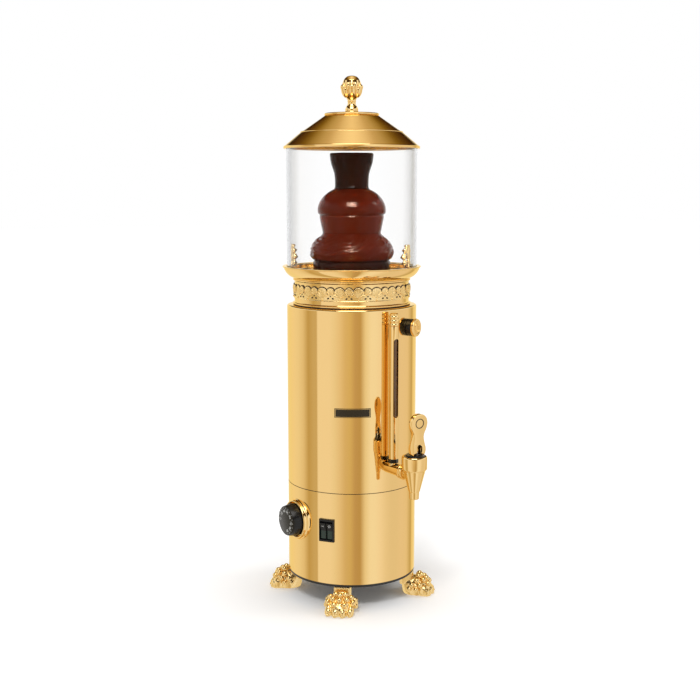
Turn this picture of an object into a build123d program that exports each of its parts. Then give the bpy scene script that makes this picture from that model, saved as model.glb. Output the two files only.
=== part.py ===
from build123d import *
import os
from math import acos, asin, cos, degrees, radians, sin, sqrt

# A column-shaped hot chocolate dispenser with a chocolate fountain under glass.
# It stands on the floor plane z = 0 with the column axis on +Z, and its tap faces -Y.
# Lengths are in millimetres. A bearing is an angle about +Z, 0 at the tap, positive towards +X.

# ---- clearances ----
sheet_gap = 0.1      # between a locating skirt and the sheet round it
running_gap = 0.05   # between a shaft and its hole
bolt_gap = 0.2       # between a screw and the hole it passes
loose_gap = 0.4      # between lift-off pieces

# ---- casings ----
body_r = 95.0
casing_wall = 1.2
lower_height = 134.0
upper_height = 262.2
top_flange_width = 12.0
edge_round = 2.5

# ---- base plate and feet ----
foot_height = 35.5
plate_t = 3.5
plate_inset = 0.5
plate_rim_height = 6.0
rim_wall = 1.5
vent_count = 8
vent_circle_r = 52.0
vent_length = 22.0
vent_width = 5.0
foot_bearings = {
    "front_left": -42.4,
    "front_right": 47.6,
    "rear_right": 137.6,
    "rear_left": -132.4,
}
ankle_back = 10.0
ankle_front = 10.0
ankle_width = 26.0
heel_back = 6.0
paw_width = 42.0
paw_height = 26.0
paw_reach = 38.0
paw_flank = 6.0
toe_root = 8.0
toe_width = 12.0
toe_height = 15.0
toe_nose = 4.5
toe_angles = (-34.0, -11.5, 11.5, 34.0)
inner_toe_length = 36.5
outer_toe_length = 33.0
claw_width = 3.0
claw_length = 4.0
curl_reach = 20.0
curl_z = 24.0
curl_r = 5.2
curl_width = 8.4
curl_shifts = (-9.0, 0.0, 9.0)
foot_inset = 11.0
foot_screw_r = 2.5
foot_screw_depth = 13.0
screw_head_r = 4.3
screw_head_t = 3.0

# ---- bulkhead between the casings ----
fin_inset = 0.6
fin_t = 0.8
skirt_down = 8.0
skirt_up = 9.0
shelf_rise = 5.0
shelf_t = 1.5
shelf_hole_r = 66.0

# ---- neck ----
seal_t = 1.2
seal_out = 1.4
seal_in = 0.5
neck_inset = 11.0
collar_wall = 1.4
collar_height = 36.8
bead_out = 2.4
bead_t = 2.5
cap_bead_out = 2.0
band_rise = 9.0
band_height = 19.5
band_t = 1.8
lobe_count = 40
lobe_r = 7.4

# ---- fountain tray ----
cove_height = 18.0
tray_lip_width = 6.0
tray_lip_t = 2.0
tray_floor_drop = 8.0
tray_floor_t = 1.5
tray_hole_r = 50.0
tray_wall = 1.4
seat_drop = 3.0
seat_in = 0.8
seat_out = 0.7
cove_r = 22.0
cove_foot = 1.0
seat_lip = 1.2
tray_skirt = 6.0
skirt_wall = 1.4

# ---- glass and its clips ----
glass_inset = 0.5
glass_wall = 3.3
glass_height = 171.0
gasket_t = 1.5
clip_bearings = (-115.0, 33.0, 139.0)
clip_height = 41.0
clip_t = 2.5
clip_foot_width = 12.0
clip_foot_depth = 7.0
clip_foot_height = 5.5
clip_stem_width = 5.0
clip_lobes = ((6.0, 31.0, 4.4), (9.4, 23.0, 4.7), (7.0, 14.5, 4.2))
clip_shoulder = 27.0
clip_blade_width = 16.0
clip_screw_r = 1.5
clip_screw_head_r = 2.3
clip_screw_head_t = 2.6
clip_screw_drop = 5.9
clip_screw_wall = 2.4

# ---- lid and finial ----
lid_overhang = 4.0
lid_lip = 1.5
lid_rim_t = 2.4
lid_sheet = 1.2
lid_ledge = 1.5
lid_seat_in = 0.7
lower_cone_width = 22.8
lower_cone_rise = 18.8
step_width = 2.5
step_rise = 1.5
upper_cone_width = 33.3
upper_cone_rise = 22.9
top_plate_out = 1.0
top_plate_t = 3.2
top_plate_bevel = 1.2
stud_r = 3.0
finial_nut_r = 5.8
finial_nut_t = 5.0
finial_base_r = 9.9
finial_neck_r = 5.9
finial_cup_r = 12.0
finial_dome_r = 13.6
finial_height = 52.7
finial_cup_rise = 24.5
petal_count = 8
petal_circle_r = 12.8
petal_r = 5.0

# ---- fountain ----
fountain_base_r = 56.0
fountain_base_height = 17.0
drain_arch_count = 8
drain_arch_r = 5.0
lower_tier_height = 38.0
lower_tier_r = 59.0
waist_r = 42.0
middle_tier_height = 64.0
middle_tier_r = 48.0
groove_r = 45.5
neck_tier_r = 24.0
crown_height = 51.0
crown_r = 30.5
crown_wall = 3.0
crown_cup_depth = 14.0
riser_r = 14.0
riser_wall = 1.8
riser_drop = 4.0
riser_bottom_rise = 18.0

# ---- tank and water jacket ----
jacket_gap = 9.0
jacket_wall = 1.2
jacket_top_drop = 4.0
water_gap = 12.8
tank_wall = 1.2
tank_floor_rise = 18.0
tank_flange_out = 2.0
sleeve_r = 12.0
sleeve_wall = 3.0
sleeve_drop = 20.8
heater_ring_r = 55.0
heater_rod_r = 4.0
heater_leg_r = 3.0
heater_leg_bearings = (150.0, 165.0)
heater_leg_drop = 19.0

# ---- drive ----
gearbox_side = 64.0
gearbox_height = 26.0
gearbox_bevel = 4.0
motor_r = 30.0
motor_height = 62.0
motor_mount_lap = 6.0
motor_mount_hole_r = 14.0
shaft_r = 5.0
shaft_depth = 8.0
hub_r = 10.0
hub_rise = 2.0
hub_height = 10.0
paddle_r = 55.0
paddle_width = 9.0
paddle_t = 3.0
auger_core_r = 4.0
auger_r = 11.6
auger_blade_t = 2.4
auger_turn = 72.0
auger_top_drop = 2.0
shaft_seal_height = 10.0
shaft_seal_rise = 8.0

# ---- thermostat ----
thermostat_bearing = -90.0
thermostat_z = 125.0
bezel_r = 30.0
bezel_in_r = 25.2
bezel_height = 6.0
bezel_round = 2.0
notch_width = 3.0
knob_r = 24.0
knob_face_r = 21.0
knob_gap = 3.0
knob_height = 17.0
spindle_r = 3.0
bush_r = 5.0
thermostat_side = 36.0
thermostat_depth = 24.0
thermostat_inset = 9.0

# ---- double rocker switch ----
switch_bearing = -55.4
switch_z = 118.5
switch_frame_width = 23.0
switch_frame_height = 33.0
switch_frame_t = 3.0
switch_body_width = 20.0
switch_body_height = 30.0
switch_depth = 28.0
rocker_width = 8.6
rocker_length = 24.0
rocker_tilt = 8.0
rocker_gap = 0.5
rocker_sink = 4.5
rocker_depth = 4.5
rocker_rise = 5.2
rocker_pocket = 12.0
rocker_hub_r = 3.5

# ---- cable gland ----
gland_bearing = 180.0
gland_z = 62.0
gland_thread_r = 6.0
gland_hex_r = 10.0
gland_hex_t = 5.0
gland_dome_r = 8.0
gland_dome_t = 8.0
gland_bore_r = 3.6
gland_inner_length = 12.0
gland_nut_t = 4.0

# ---- tap ----
tap_standoff = 62.0
tap_z = 210.0
shank_r = 8.3
shank_bore_r = 5.0
shank_in = 8.0
tap_spigot = 20.0
shank_nut_r = 12.0
shank_nut_t = 4.9
union_r = 10.5
union_t = 10.5
union_overlap = 1.3
spout_drop = 33.0
spout_r = 7.65
outlet_r = 5.0
cone_rise = 8.0
cone_r = 16.25
collar_bevel = 2.0
tap_collar_r = 18.2
tap_collar_rise = 28.0
chamber_r = 10.0
seat_fall = 10.0
thread_r = 14.5
thread_depth = 12.0
seat_cup_r = 8.0
seat_cup_t = 7.0
seat_gap = 0.1
stem_r = 2.6
spring_plate_r = 7.5
spring_plate_t = 1.5
spring_r = 6.0
spring_wire_r = 0.7
spring_turns = 5
spring_pocket_r = 7.5
spring_pocket_depth = 6.5
bonnet_cap_r = 12.2
bonnet_cap_rise = 2.5
heel_r = 10.2
heel_offset = 6.0
heel_gap = 0.3
eye_r = 3.8
eye_width = 5.4
lever_slot = 8.4
lever_boss_width = 17.4
lever_neck_width = 15.5
lever_neck_rise = 14.0
lever_head_width = 27.0
lever_height = 48.0
lever_t = 7.0
lever_lean = 4.0
medallion_r = 8.0
medallion_depth = 0.6
medallion_drop = 13.5
pin_r = 1.6

# ---- level gauge ----
gauge_standoff = 12.0
gauge_r = 6.7
gauge_bore_r = 4.7
gauge_foot_rise = 14.3
gauge_length = 189.3
gauge_boss_r = 7.2
gauge_nut_side = 11.0
gauge_nut_t = 5.5
gauge_glass_r = 4.5
gauge_glass_wall = 1.2
gauge_passage_r = 2.4
window_width = 6.7
window_rise = 59.6
window_length = 112.0
gauge_cap_height = 16.5
gauge_cap_r = 6.2
gauge_cap_bead_r = 6.9
gauge_cap_plug = 8.0
gauge_glass_drop = 9.0

# ---- water filler ----
filler_bearing = 24.6
filler_z = 407.2
filler_pipe_r = 7.5
filler_bore_r = 5.5
filler_flange_r = 12.3
filler_flange_t = 1.6
filler_washer_t = 8.2
filler_pipe_short = 1.8
filler_cap_r = 12.9
filler_cap_t = 5.0
filler_plug = 7.3
filler_dish_r = 9.0
filler_dish_depth = 0.8

# ---- label plate ----
label_bearing = -32.7
label_width = 51.6
label_height = 13.2
label_rise = 111.0
label_t = 0.8

# ---- radii worked out from the sizes above ----
inside_r = body_r - casing_wall
skirt_r = inside_r - sheet_gap
top_flange_r = body_r - top_flange_width
foot_rho = body_r - foot_inset
collar_r = body_r - neck_inset
collar_in_r = collar_r - collar_wall
bead_r = collar_r + bead_out
cap_bead_r = collar_r + cap_bead_out
seal_r = collar_r + seal_out
glass_r = body_r - glass_inset
glass_in_r = glass_r - glass_wall
seat_in_r = glass_in_r - seat_in
seat_out_r = glass_r + seat_out
tray_wall_r = seat_in_r - tray_wall
tray_r = seat_out_r + tray_lip_width
clip_back = tray_wall_r - sheet_gap
clip_screw_seat = tray_wall_r + clip_screw_wall
lid_r = glass_r + lid_overhang
lower_cone_r = lid_r - lid_ledge
lid_seat_r = glass_in_r - lid_seat_in
step_r = lower_cone_r - lower_cone_width
upper_cone_r = step_r - step_width
lid_top_r = upper_cone_r - upper_cone_width
top_plate_r = lid_top_r + top_plate_out
jacket_r = body_r - jacket_gap
tank_r = jacket_r - water_gap
tank_in_r = tank_r - tank_wall
tank_flange_r = jacket_r + tank_flange_out
motor_mount_r = shelf_hole_r + motor_mount_lap
bezel_face = body_r + bezel_height
knob_back = body_r + knob_gap
knob_face = knob_back + knob_height
thermostat_front = body_r - thermostat_inset
thermostat_back = thermostat_front - thermostat_depth
switch_frame_face = body_r + switch_frame_t
switch_back = switch_frame_face - switch_depth
rocker_pivot = switch_frame_face - rocker_sink
tap_reach = body_r + tap_standoff
shank_inner_end = tank_in_r - shank_in
shank_outer_end = tap_reach - tap_spigot
gauge_rho = body_r + gauge_standoff
filler_flange_face = body_r + filler_flange_t
filler_washer_face = filler_flange_face + filler_washer_t
filler_pipe_end = filler_washer_face - filler_pipe_short
filler_cap_face = filler_washer_face + filler_cap_t
filler_plug_end = filler_washer_face - filler_plug

# ---- levels worked out from the sizes above ----
plate_z = foot_height
shell_z = plate_z + plate_t
seam_z = shell_z + lower_height
upper_z = seam_z + fin_t
casing_top = upper_z + upper_height
collar_z = casing_top + seal_t
collar_top = collar_z + collar_height
tray_z = collar_top + cove_height
tray_floor_z = tray_z - tray_floor_drop
glass_z = tray_z - seat_drop + gasket_t
glass_top = glass_z + glass_height
lid_flat_z = glass_top + lid_rim_t
step_z = lid_flat_z + lower_cone_rise
upper_cone_z = step_z + step_rise
lid_top_z = upper_cone_z + upper_cone_rise
finial_z = lid_top_z + top_plate_t
shelf_z = seam_z + shelf_rise
motor_mount_t = shelf_rise - shelf_t + 1.0
gearbox_top = shelf_z - shelf_t - motor_mount_t
jacket_top = casing_top - jacket_top_drop
tank_floor_z = shelf_z + tank_floor_rise
fountain_top = (
    tray_floor_z + fountain_base_height + lower_tier_height + middle_tier_height + crown_height
)
lower_tier_z = tray_floor_z + fountain_base_height
middle_tier_z = lower_tier_z + lower_tier_height
crown_z = middle_tier_z + middle_tier_height
riser_top = fountain_top - riser_drop
riser_bottom = tank_floor_z + riser_bottom_rise
hub_z = tank_floor_z + hub_rise
auger_z = hub_z + hub_height
heater_z = (shelf_z + jacket_wall + tank_floor_z - tank_wall) / 2
spout_z = tap_z - spout_drop
tap_top = tap_z + tap_collar_rise
seat_z = tap_z - seat_fall
bonnet_top = tap_top + bonnet_cap_rise
pin_z = bonnet_top + heel_gap + heel_r
spring_z = seat_z + seat_gap + seat_cup_t + spring_plate_t
spring_top = tap_top - thread_depth + spring_pocket_depth
gauge_z = tap_z + gauge_foot_rise
gauge_top = gauge_z + gauge_length
label_z = seam_z + label_rise

LOW = (Align.CENTER, Align.CENTER, Align.MIN)
SIDE = Plane(origin=(0, 0, 0), x_dir=(0, -1, 0), z_dir=(-1, 0, 0))


def chords(curve, count):
    """Points along a curve, which a turned profile follows in straight steps."""
    return [(p.X, p.Y) for p in (curve @ (i / count) for i in range(count + 1))]


def disc(r, z0, z1):
    """A round slab on the column axis."""
    return Pos(0, 0, z0) * Cylinder(r, z1 - z0, align=LOW)


def ring(r_out, r_in, z0, z1):
    """A ring on the column axis."""
    return disc(r_out, z0, z1) - disc(r_in, z0, z1)


def turned(*points):
    """A solid turned about the column axis from (radius, height) points."""
    return revolve(Plane.XZ * Polygon(*points, align=None), axis=Axis.Z)


def front(rho, z, x=0.0):
    """The plane that faces the front at a distance from the column axis."""
    return Plane(origin=(x, -rho, z), x_dir=(1, 0, 0), z_dir=(0, -1, 0))


def rod(r, rho0, rho1, z, x=0.0):
    """A round bar that points to the front, between two distances from the axis."""
    return front(rho0, z, x) * Cylinder(r, rho1 - rho0, align=LOW)


def block(width, height, rho0, rho1, z, x=0.0):
    """A rectangular bar that points to the front."""
    return front(rho0, z, x) * Box(width, height, rho1 - rho0, align=LOW)


def turn(bearing, shape):
    """Turns a shape made at the front to its bearing."""
    return Rot(0, 0, bearing) * shape


def regular_bar(r, sides, rho0, rho1, z):
    """A hexagonal or square bar that points to the front; r reaches its corners."""
    return extrude(front(rho0, z) * RegularPolygon(r, sides), rho1 - rho0)


# ---- base plate and feet ----

def foot_screw_places():
    return [Rot(0, 0, b) * Pos(0, -foot_rho, 0) for b in foot_bearings.values()]


def base_plate():
    plate = disc(body_r - plate_inset, plate_z, shell_z)
    plate += ring(skirt_r, skirt_r - rim_wall, shell_z, shell_z + plate_rim_height)
    hole = disc(foot_screw_r + bolt_gap, plate_z - 1, shell_z + 1)
    vent = extrude(Pos(0, 0, plate_z - 1) * SlotOverall(vent_length, vent_width), plate_t + 2)
    cuts = [place * hole for place in foot_screw_places()]
    cuts += [Rot(0, 0, 360 / vent_count * i) * Pos(vent_circle_r, 0, 0) * vent
             for i in range(vent_count)]
    return plate - cuts


def toe(length):
    """One toe along the front direction, arched, with a bevelled nose and a claw under it."""
    crown = toe_height - toe_width / 2
    arch = Rectangle(toe_width, crown, align=(Align.CENTER, Align.MIN))
    arch += Pos(0, crown) * Circle(toe_width / 2)
    bar = extrude(front(0, 0) * arch, length)
    nose = bar.faces().sort_by(Axis.Y)[0].edges().filter_by(lambda e: e.center().Z > 0.1)
    claw = Polygon((0, 0), (length + claw_length, 0), (length, crown), (0, crown), align=None)
    return chamfer(nose, toe_nose) + extrude(SIDE * claw, claw_width / 2, both=True)


def foot(bearing):
    """A cast lion's paw: an ankle under the plate, a domed paw, curls of hair and four toes."""
    mid = (paw_reach - heel_back) / 2
    half = paw_width / 2
    side = Polygon(
        (-heel_back, 0),
        (paw_reach, 0),
        (paw_reach, toe_height - 2),
        (mid + paw_flank, paw_height),
        (ankle_front - 1, paw_height),
        (-heel_back, toe_height + 2),
        align=None,
    )
    arch = Polygon(
        (-half, 0),
        (half, 0),
        (half, toe_height / 2),
        (half - paw_flank, toe_height + 3),
        (half / 2, paw_height),
        (-half / 2, paw_height),
        (paw_flank - half, toe_height + 3),
        (-half, toe_height / 2),
        align=None,
    )
    plan = Pos(0, -mid) * (Circle(half) + Rectangle(ankle_width, paw_reach + heel_back))
    paw = extrude(SIDE * side, half, both=True)
    paw &= extrude(front(-heel_back, 0) * arch, paw_reach + heel_back)
    paw &= extrude(plan, paw_height)
    ankle = block(ankle_width, foot_height - toe_height, -ankle_back, ankle_front,
                  (foot_height + toe_height) / 2)
    shape = paw + chamfer(ankle.edges().filter_by(Axis.Z), 3.0)
    for angle in toe_angles:
        length = inner_toe_length if abs(angle) < 15 else outer_toe_length
        shape += Pos(0, -toe_root, 0) * Rot(0, 0, angle) * toe(length)
    curl = Rot(0, 90, 0) * Cylinder(curl_r, curl_width)
    curl = chamfer(curl.edges().filter_by(GeomType.CIRCLE), 1.6)
    for shift in curl_shifts:
        shape += Pos(shift, abs(shift) / 3 - curl_reach, curl_z - abs(shift) / 6) * curl
    tapped = foot_height - foot_screw_depth
    shape -= disc(foot_screw_r + running_gap, tapped, foot_height)
    return turn(bearing, Pos(0, -foot_rho, 0) * shape)


def foot_screws():
    screw = disc(foot_screw_r, foot_height - foot_screw_depth + 1, shell_z)
    screw += disc(screw_head_r, shell_z, shell_z + screw_head_t)
    return Compound(children=[place * screw for place in foot_screw_places()])


# ---- casings ----

def base_shell():
    shell = ring(body_r, inside_r, shell_z, seam_z)
    shell -= turn(thermostat_bearing, rod(bush_r + bolt_gap, inside_r - 9, body_r + 1, thermostat_z))
    shell -= turn(switch_bearing, block(switch_body_width + 2 * bolt_gap,
                                        switch_body_height + 2 * bolt_gap,
                                        inside_r - 9, body_r + 1, switch_z))
    shell -= turn(gland_bearing, rod(gland_thread_r + bolt_gap, inside_r - 9, body_r + 1, gland_z))
    return shell


def bulkhead():
    """Ring that joins the casings; its shelf carries the water jacket and the motor mount."""
    inner = skirt_r - rim_wall
    fin_r = body_r - fin_inset
    return turned(
        (fin_r, seam_z),
        (fin_r, upper_z),
        (skirt_r, upper_z),
        (skirt_r, seam_z + skirt_up),
        (inner, seam_z + skirt_up),
        (inner, shelf_z),
        (shelf_hole_r, shelf_z),
        (shelf_hole_r, shelf_z - shelf_t),
        (inner, shelf_z - shelf_t),
        (inner, seam_z - skirt_down),
        (skirt_r, seam_z - skirt_down),
        (skirt_r, seam_z),
    )


def upper_casing():
    inner_edge = edge_round - casing_wall + 0.7
    shell = turned(
        (inside_r, upper_z),
        (body_r, upper_z),
        (body_r, casing_top - edge_round),
        (body_r - edge_round, casing_top),
        (top_flange_r, casing_top),
        (top_flange_r, casing_top - casing_wall),
        (inside_r - inner_edge, casing_top - casing_wall),
        (inside_r, casing_top - casing_wall - inner_edge),
    )
    shell -= rod(shank_r + bolt_gap, inside_r - 9, body_r + 1, tap_z)
    filler_hole = rod(filler_pipe_r + bolt_gap, inside_r - 9, body_r + 1, filler_z)
    shell -= turn(filler_bearing, filler_hole)
    return shell


def label_plate():
    band = ring(body_r + running_gap + label_t, body_r + running_gap, label_z, label_z + label_height)
    window = block(label_width, label_height + 2, body_r - 20, body_r + 9, label_z + label_height / 2)
    return turn(label_bearing, band & window)


# ---- neck ----

def collar_seal():
    return ring(seal_r, top_flange_r + seal_in, casing_top, collar_z)


def neck_collar():
    return turned(
        (collar_in_r, collar_z),
        (bead_r, collar_z),
        (bead_r, collar_z + bead_t),
        (collar_r, collar_z + bead_t + 1),
        (collar_r, collar_top - bead_t - 1),
        (cap_bead_r, collar_top - bead_t),
        (cap_bead_r, collar_top),
        (collar_in_r, collar_top),
    )


def ornament_band():
    """Embossed band whose upper edge is a row of shell-shaped lobes."""
    r_in = collar_r + sheet_gap
    low = collar_z + band_rise
    high = low + band_height
    lobe_z = high - lobe_r
    lobes = [turn(360 / lobe_count * i, rod(lobe_r, r_in - 3, r_in + band_t + 3, lobe_z))
             for i in range(lobe_count)]
    crest = ring(r_in + band_t, r_in, lobe_z, high) & (Part() + lobes)
    return ring(r_in + band_t, r_in, low, lobe_z) + crest


def fountain_tray():
    """Cast bowl that closes the neck, seats the glass and drains through its middle."""
    seat_z = tray_z - seat_drop
    skirt_out = collar_in_r - sheet_gap * 3
    underside = tray_floor_z - tray_floor_t
    cove_top = tray_z - tray_lip_t
    cove = RadiusArc((tray_r - 1.5, cove_top), (cap_bead_r, collar_top + cove_foot), cove_r)
    bowl = turned(
        (cap_bead_r, collar_top),
        (skirt_out, collar_top),
        (skirt_out, collar_top - tray_skirt),
        (skirt_out - skirt_wall, collar_top - tray_skirt),
        (skirt_out - skirt_wall, underside),
        (tray_hole_r, underside),
        (tray_hole_r, tray_floor_z),
        (tray_wall_r, tray_floor_z),
        (tray_wall_r, seat_z + seat_lip),
        (seat_in_r, seat_z + seat_lip),
        (seat_in_r, seat_z),
        (seat_out_r, seat_z),
        (seat_out_r, tray_z),
        (tray_r, tray_z),
        (tray_r, cove_top),
        *chords(cove, 5),
    )
    hole = rod(clip_screw_r + bolt_gap, clip_back - 3, tray_r, tray_z - clip_screw_drop)
    hole += rod(clip_screw_head_r + bolt_gap, clip_screw_seat, tray_r, tray_z - clip_screw_drop)
    return bowl - [turn(b, hole) for b in clip_bearings]


def glass_gasket():
    z = tray_z - seat_drop
    return ring(seat_out_r - bolt_gap, seat_in_r + bolt_gap, z, z + gasket_t)


# ---- glass, clips and lid ----

def glass_cylinder():
    return ring(glass_r, glass_in_r, glass_z, glass_top)


def leaf_clip():
    """Leaf-shaped clip that steadies the glass from inside."""
    half = clip_blade_width / 2
    stem = clip_stem_width / 2
    leaf = Polygon(
        (-stem, 0),
        (stem, 0),
        (stem, clip_shoulder / 2),
        (half, clip_shoulder / 2 + half - stem),
        (half, clip_shoulder),
        (0, clip_height),
        (-half, clip_shoulder),
        (-half, clip_shoulder / 2 + half - stem),
        (-stem, clip_shoulder / 2),
        align=None,
    )
    for across, rise, r in clip_lobes:
        leaf += [Pos(side * across, rise) * Circle(r) for side in (-1, 1)]
    back = clip_back
    plate = extrude(front(back - clip_t, tray_floor_z) * leaf, clip_t)
    foot_z = tray_floor_z + clip_foot_height / 2
    sole = block(clip_foot_width, clip_foot_height, back - clip_foot_depth, back - 1.2, foot_z)
    tapped = rod(clip_screw_r + running_gap, back - clip_foot_depth + 1, back + 3,
                 tray_z - clip_screw_drop)
    return plate + sole - tapped


def leaf_clips():
    return Compound(children=[turn(b, leaf_clip()) for b in clip_bearings])


def clip_screws():
    z = tray_z - clip_screw_drop
    head = rod(clip_screw_head_r, clip_screw_seat, clip_screw_seat + clip_screw_head_t, z)
    head = chamfer(head.edges().filter_by(GeomType.CIRCLE).sort_by(Axis.Y)[0], 1.0)
    screw = head + rod(clip_screw_r, clip_back - clip_foot_depth + 2, clip_screw_seat, z)
    return Compound(children=[turn(b, screw) for b in clip_bearings])


def lid():
    sheet_z = glass_top
    inner_step_r = step_r - lid_sheet
    along = (lid_seat_r - inner_step_r) / (lower_cone_r - 1 - inner_step_r)
    seat_top = step_z - 1 - along * (step_z - 1 - sheet_z)
    return turned(
        (lid_r, glass_top - lid_lip),
        (lid_r, lid_flat_z - 0.8),
        (lid_r - 0.8, lid_flat_z),
        (lower_cone_r, lid_flat_z),
        (step_r, step_z),
        (step_r, upper_cone_z),
        (upper_cone_r, upper_cone_z),
        (lid_top_r, lid_top_z),
        (stud_r + bolt_gap, lid_top_z),
        (stud_r + bolt_gap, lid_top_z - lid_sheet),
        (lid_top_r - 1, lid_top_z - lid_sheet),
        (upper_cone_r - 1, upper_cone_z - lid_sheet),
        (inner_step_r, upper_cone_z - lid_sheet),
        (inner_step_r, step_z - 1),
        (lid_seat_r, seat_top),
        (lid_seat_r, sheet_z),
        (glass_r + loose_gap, sheet_z),
        (glass_r + loose_gap, glass_top - lid_lip),
    )


def lid_top_plate():
    plate = disc(top_plate_r, lid_top_z, finial_z)
    plate = chamfer(plate.edges().sort_by(Axis.Z)[-1], top_plate_bevel)
    return plate - disc(stud_r + bolt_gap, lid_top_z - 1, finial_z + 1)


def finial():
    """Turned knob with a ring of petals and a domed top, on a threaded stud."""
    cup_z = finial_z + finial_cup_rise
    dome_z = finial_z + finial_height - finial_dome_r
    dome = ThreePointArc(
        (finial_dome_r, dome_z),
        (finial_dome_r * cos(radians(45)), dome_z + finial_dome_r * sin(radians(45))),
        (2.0, finial_z + finial_height),
    )
    knob = turned(
        (stud_r, lid_top_z - lid_sheet - finial_nut_t - 2),
        (stud_r, finial_z),
        (finial_base_r, finial_z),
        (finial_base_r, finial_z + 2),
        (finial_neck_r + 1, finial_z + 8),
        (finial_neck_r, finial_z + 14),
        (finial_cup_r, cup_z),
        *chords(dome, 4),
        (0, finial_z + finial_height),
        (0, lid_top_z - lid_sheet - finial_nut_t - 2),
    )
    petal = disc(petal_r, cup_z + 1, dome_z + 1)
    petals = [Rot(0, 0, 360 / petal_count * i) * Pos(petal_circle_r, 0, 0) * petal
              for i in range(petal_count)]
    return knob + petals


def finial_nut():
    z = lid_top_z - lid_sheet - finial_nut_t
    nut = extrude(Pos(0, 0, z) * RegularPolygon(finial_nut_r, 6), finial_nut_t)
    return nut - disc(stud_r + running_gap, z - 1, z + finial_nut_t + 1)


# ---- fountain ----

def tier_bore(z0, z1):
    return disc(riser_r + sheet_gap, z0 - 1, z1 + 1)


def fountain_base():
    base = disc(fountain_base_r, tray_floor_z, lower_tier_z) - tier_bore(tray_floor_z, lower_tier_z)
    arch = rod(drain_arch_r, tray_hole_r - 12, fountain_base_r + 2, tray_floor_z)
    base -= [turn(360 / drain_arch_count * (i + 0.5), arch) for i in range(drain_arch_count)]
    return base - disc(tray_hole_r - 6, tray_floor_z - 1, tray_floor_z + drain_arch_r + 2)


def fountain_lower_tier():
    z0 = lower_tier_z
    z1 = middle_tier_z
    belly_z = z0 + 10
    brow = Spline(
        (lower_tier_r, belly_z),
        (lower_tier_r - 4, belly_z + 13),
        (waist_r, z1),
        tangents=((0, 1), (-0.5, 1)),
    )
    return turned(
        (riser_r + sheet_gap, z1),
        (riser_r + sheet_gap, z0),
        (fountain_base_r, z0),
        *chords(brow, 7),
    )


def fountain_middle_tier():
    z0 = middle_tier_z
    z1 = crown_z
    groove_z = z0 + 30
    belly_z = z0 + 38
    shoulder = ThreePointArc(
        (middle_tier_r, belly_z),
        (middle_tier_r - 7, belly_z + 15),
        (neck_tier_r, z1),
    )
    return turned(
        (riser_r + sheet_gap, z1),
        (riser_r + sheet_gap, z0),
        (waist_r, z0),
        (groove_r, groove_z),
        (middle_tier_r, groove_z + 2),
        *chords(shoulder, 7),
    )


def fountain_crown():
    """Flared cup from which the chocolate spills over."""
    cup_z = fountain_top - crown_cup_depth
    cup_r = crown_r - crown_wall
    return turned(
        (riser_r + sheet_gap, crown_z),
        (neck_tier_r, crown_z),
        (neck_tier_r, crown_z + 18),
        (crown_r - 2, fountain_top - 10),
        (crown_r, fountain_top),
        (cup_r, fountain_top),
        (cup_r - 2, cup_z),
        (riser_r + sheet_gap, cup_z),
    )


def riser_tube():
    """Pipe that guides the auger from the tank floor to the crown."""
    return ring(riser_r, riser_r - riser_wall, riser_bottom, riser_top)


def auger():
    """Two-start screw on a core, which lifts the chocolate."""
    top = riser_top - auger_top_drop
    flight_z = riser_bottom - 4
    height = top - flight_z
    core = disc(auger_core_r, auger_z, top)
    blade = Pos(0, 0, flight_z) * Rectangle(2 * auger_r, auger_blade_t)
    tips = Pos(0, 0, flight_z) * Circle(auger_r)
    section = (blade & tips).face()
    flight = Solid.extrude_linear_with_rotation(
        section,
        center=(0, 0, flight_z),
        normal=(0, 0, height),
        angle=360 * height / auger_turn,
    )
    return core + flight


# ---- tank, jacket and heater ----

def chocolate_tank():
    sleeve_in = sleeve_r - sleeve_wall
    flange_z = jacket_top + tank_wall
    tank = turned(
        (tank_in_r, tank_floor_z),
        (tank_in_r, flange_z),
        (tank_flange_r, flange_z),
        (tank_flange_r, jacket_top),
        (tank_r, jacket_top),
        (tank_r, tank_floor_z - tank_wall),
        (sleeve_r, tank_floor_z - tank_wall),
        (sleeve_r, tank_floor_z - sleeve_drop),
        (sleeve_in, tank_floor_z - sleeve_drop),
        (sleeve_in, tank_floor_z),
    )
    return tank - rod(shank_r + sheet_gap, tank_in_r - 4, tank_r + 4, tap_z)


def water_jacket():
    """Outer vessel; a ferrule carries the tap shank dry through the water."""
    inner = jacket_r - jacket_wall
    jacket = turned(
        (sleeve_r + sheet_gap, shelf_z),
        (jacket_r, shelf_z),
        (jacket_r, jacket_top),
        (inner, jacket_top),
        (inner, shelf_z + jacket_wall),
        (sleeve_r + sheet_gap, shelf_z + jacket_wall),
    )
    ferrule = rod(shank_r + 2.2, tank_r - 6, jacket_r - 0.2, tap_z)
    ferrule -= disc(tank_r + running_gap, tap_z - 2 * shank_r, tap_z + 2 * shank_r)
    jacket += ferrule
    jacket -= rod(shank_r + sheet_gap, tank_r - 8, jacket_r + 5, tap_z)
    filler_hole = rod(filler_pipe_r + sheet_gap, jacket_r - 9, jacket_r + 5, filler_z)
    jacket -= turn(filler_bearing, filler_hole)
    leg = disc(heater_leg_r + sheet_gap, shelf_z - 1, shelf_z + jacket_wall + 1)
    return jacket - [Rot(0, 0, b) * Pos(0, -heater_ring_r, 0) * leg for b in heater_leg_bearings]


def tank_gasket():
    flange_z = jacket_top + tank_wall
    return ring(tank_flange_r, top_flange_r + seal_in, flange_z, casing_top - casing_wall)


def heater_element():
    """Immersion ring in the water under the tank, with two terminal legs."""
    section = Plane.XZ * Pos(heater_ring_r, heater_z) * RegularPolygon(heater_rod_r, 8)
    element = revolve(section, axis=Axis.Z)
    leg = disc(heater_leg_r, heater_z - heater_leg_drop, heater_z)
    legs = [Rot(0, 0, b) * Pos(0, -heater_ring_r, 0) * leg for b in heater_leg_bearings]
    return element + legs


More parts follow.
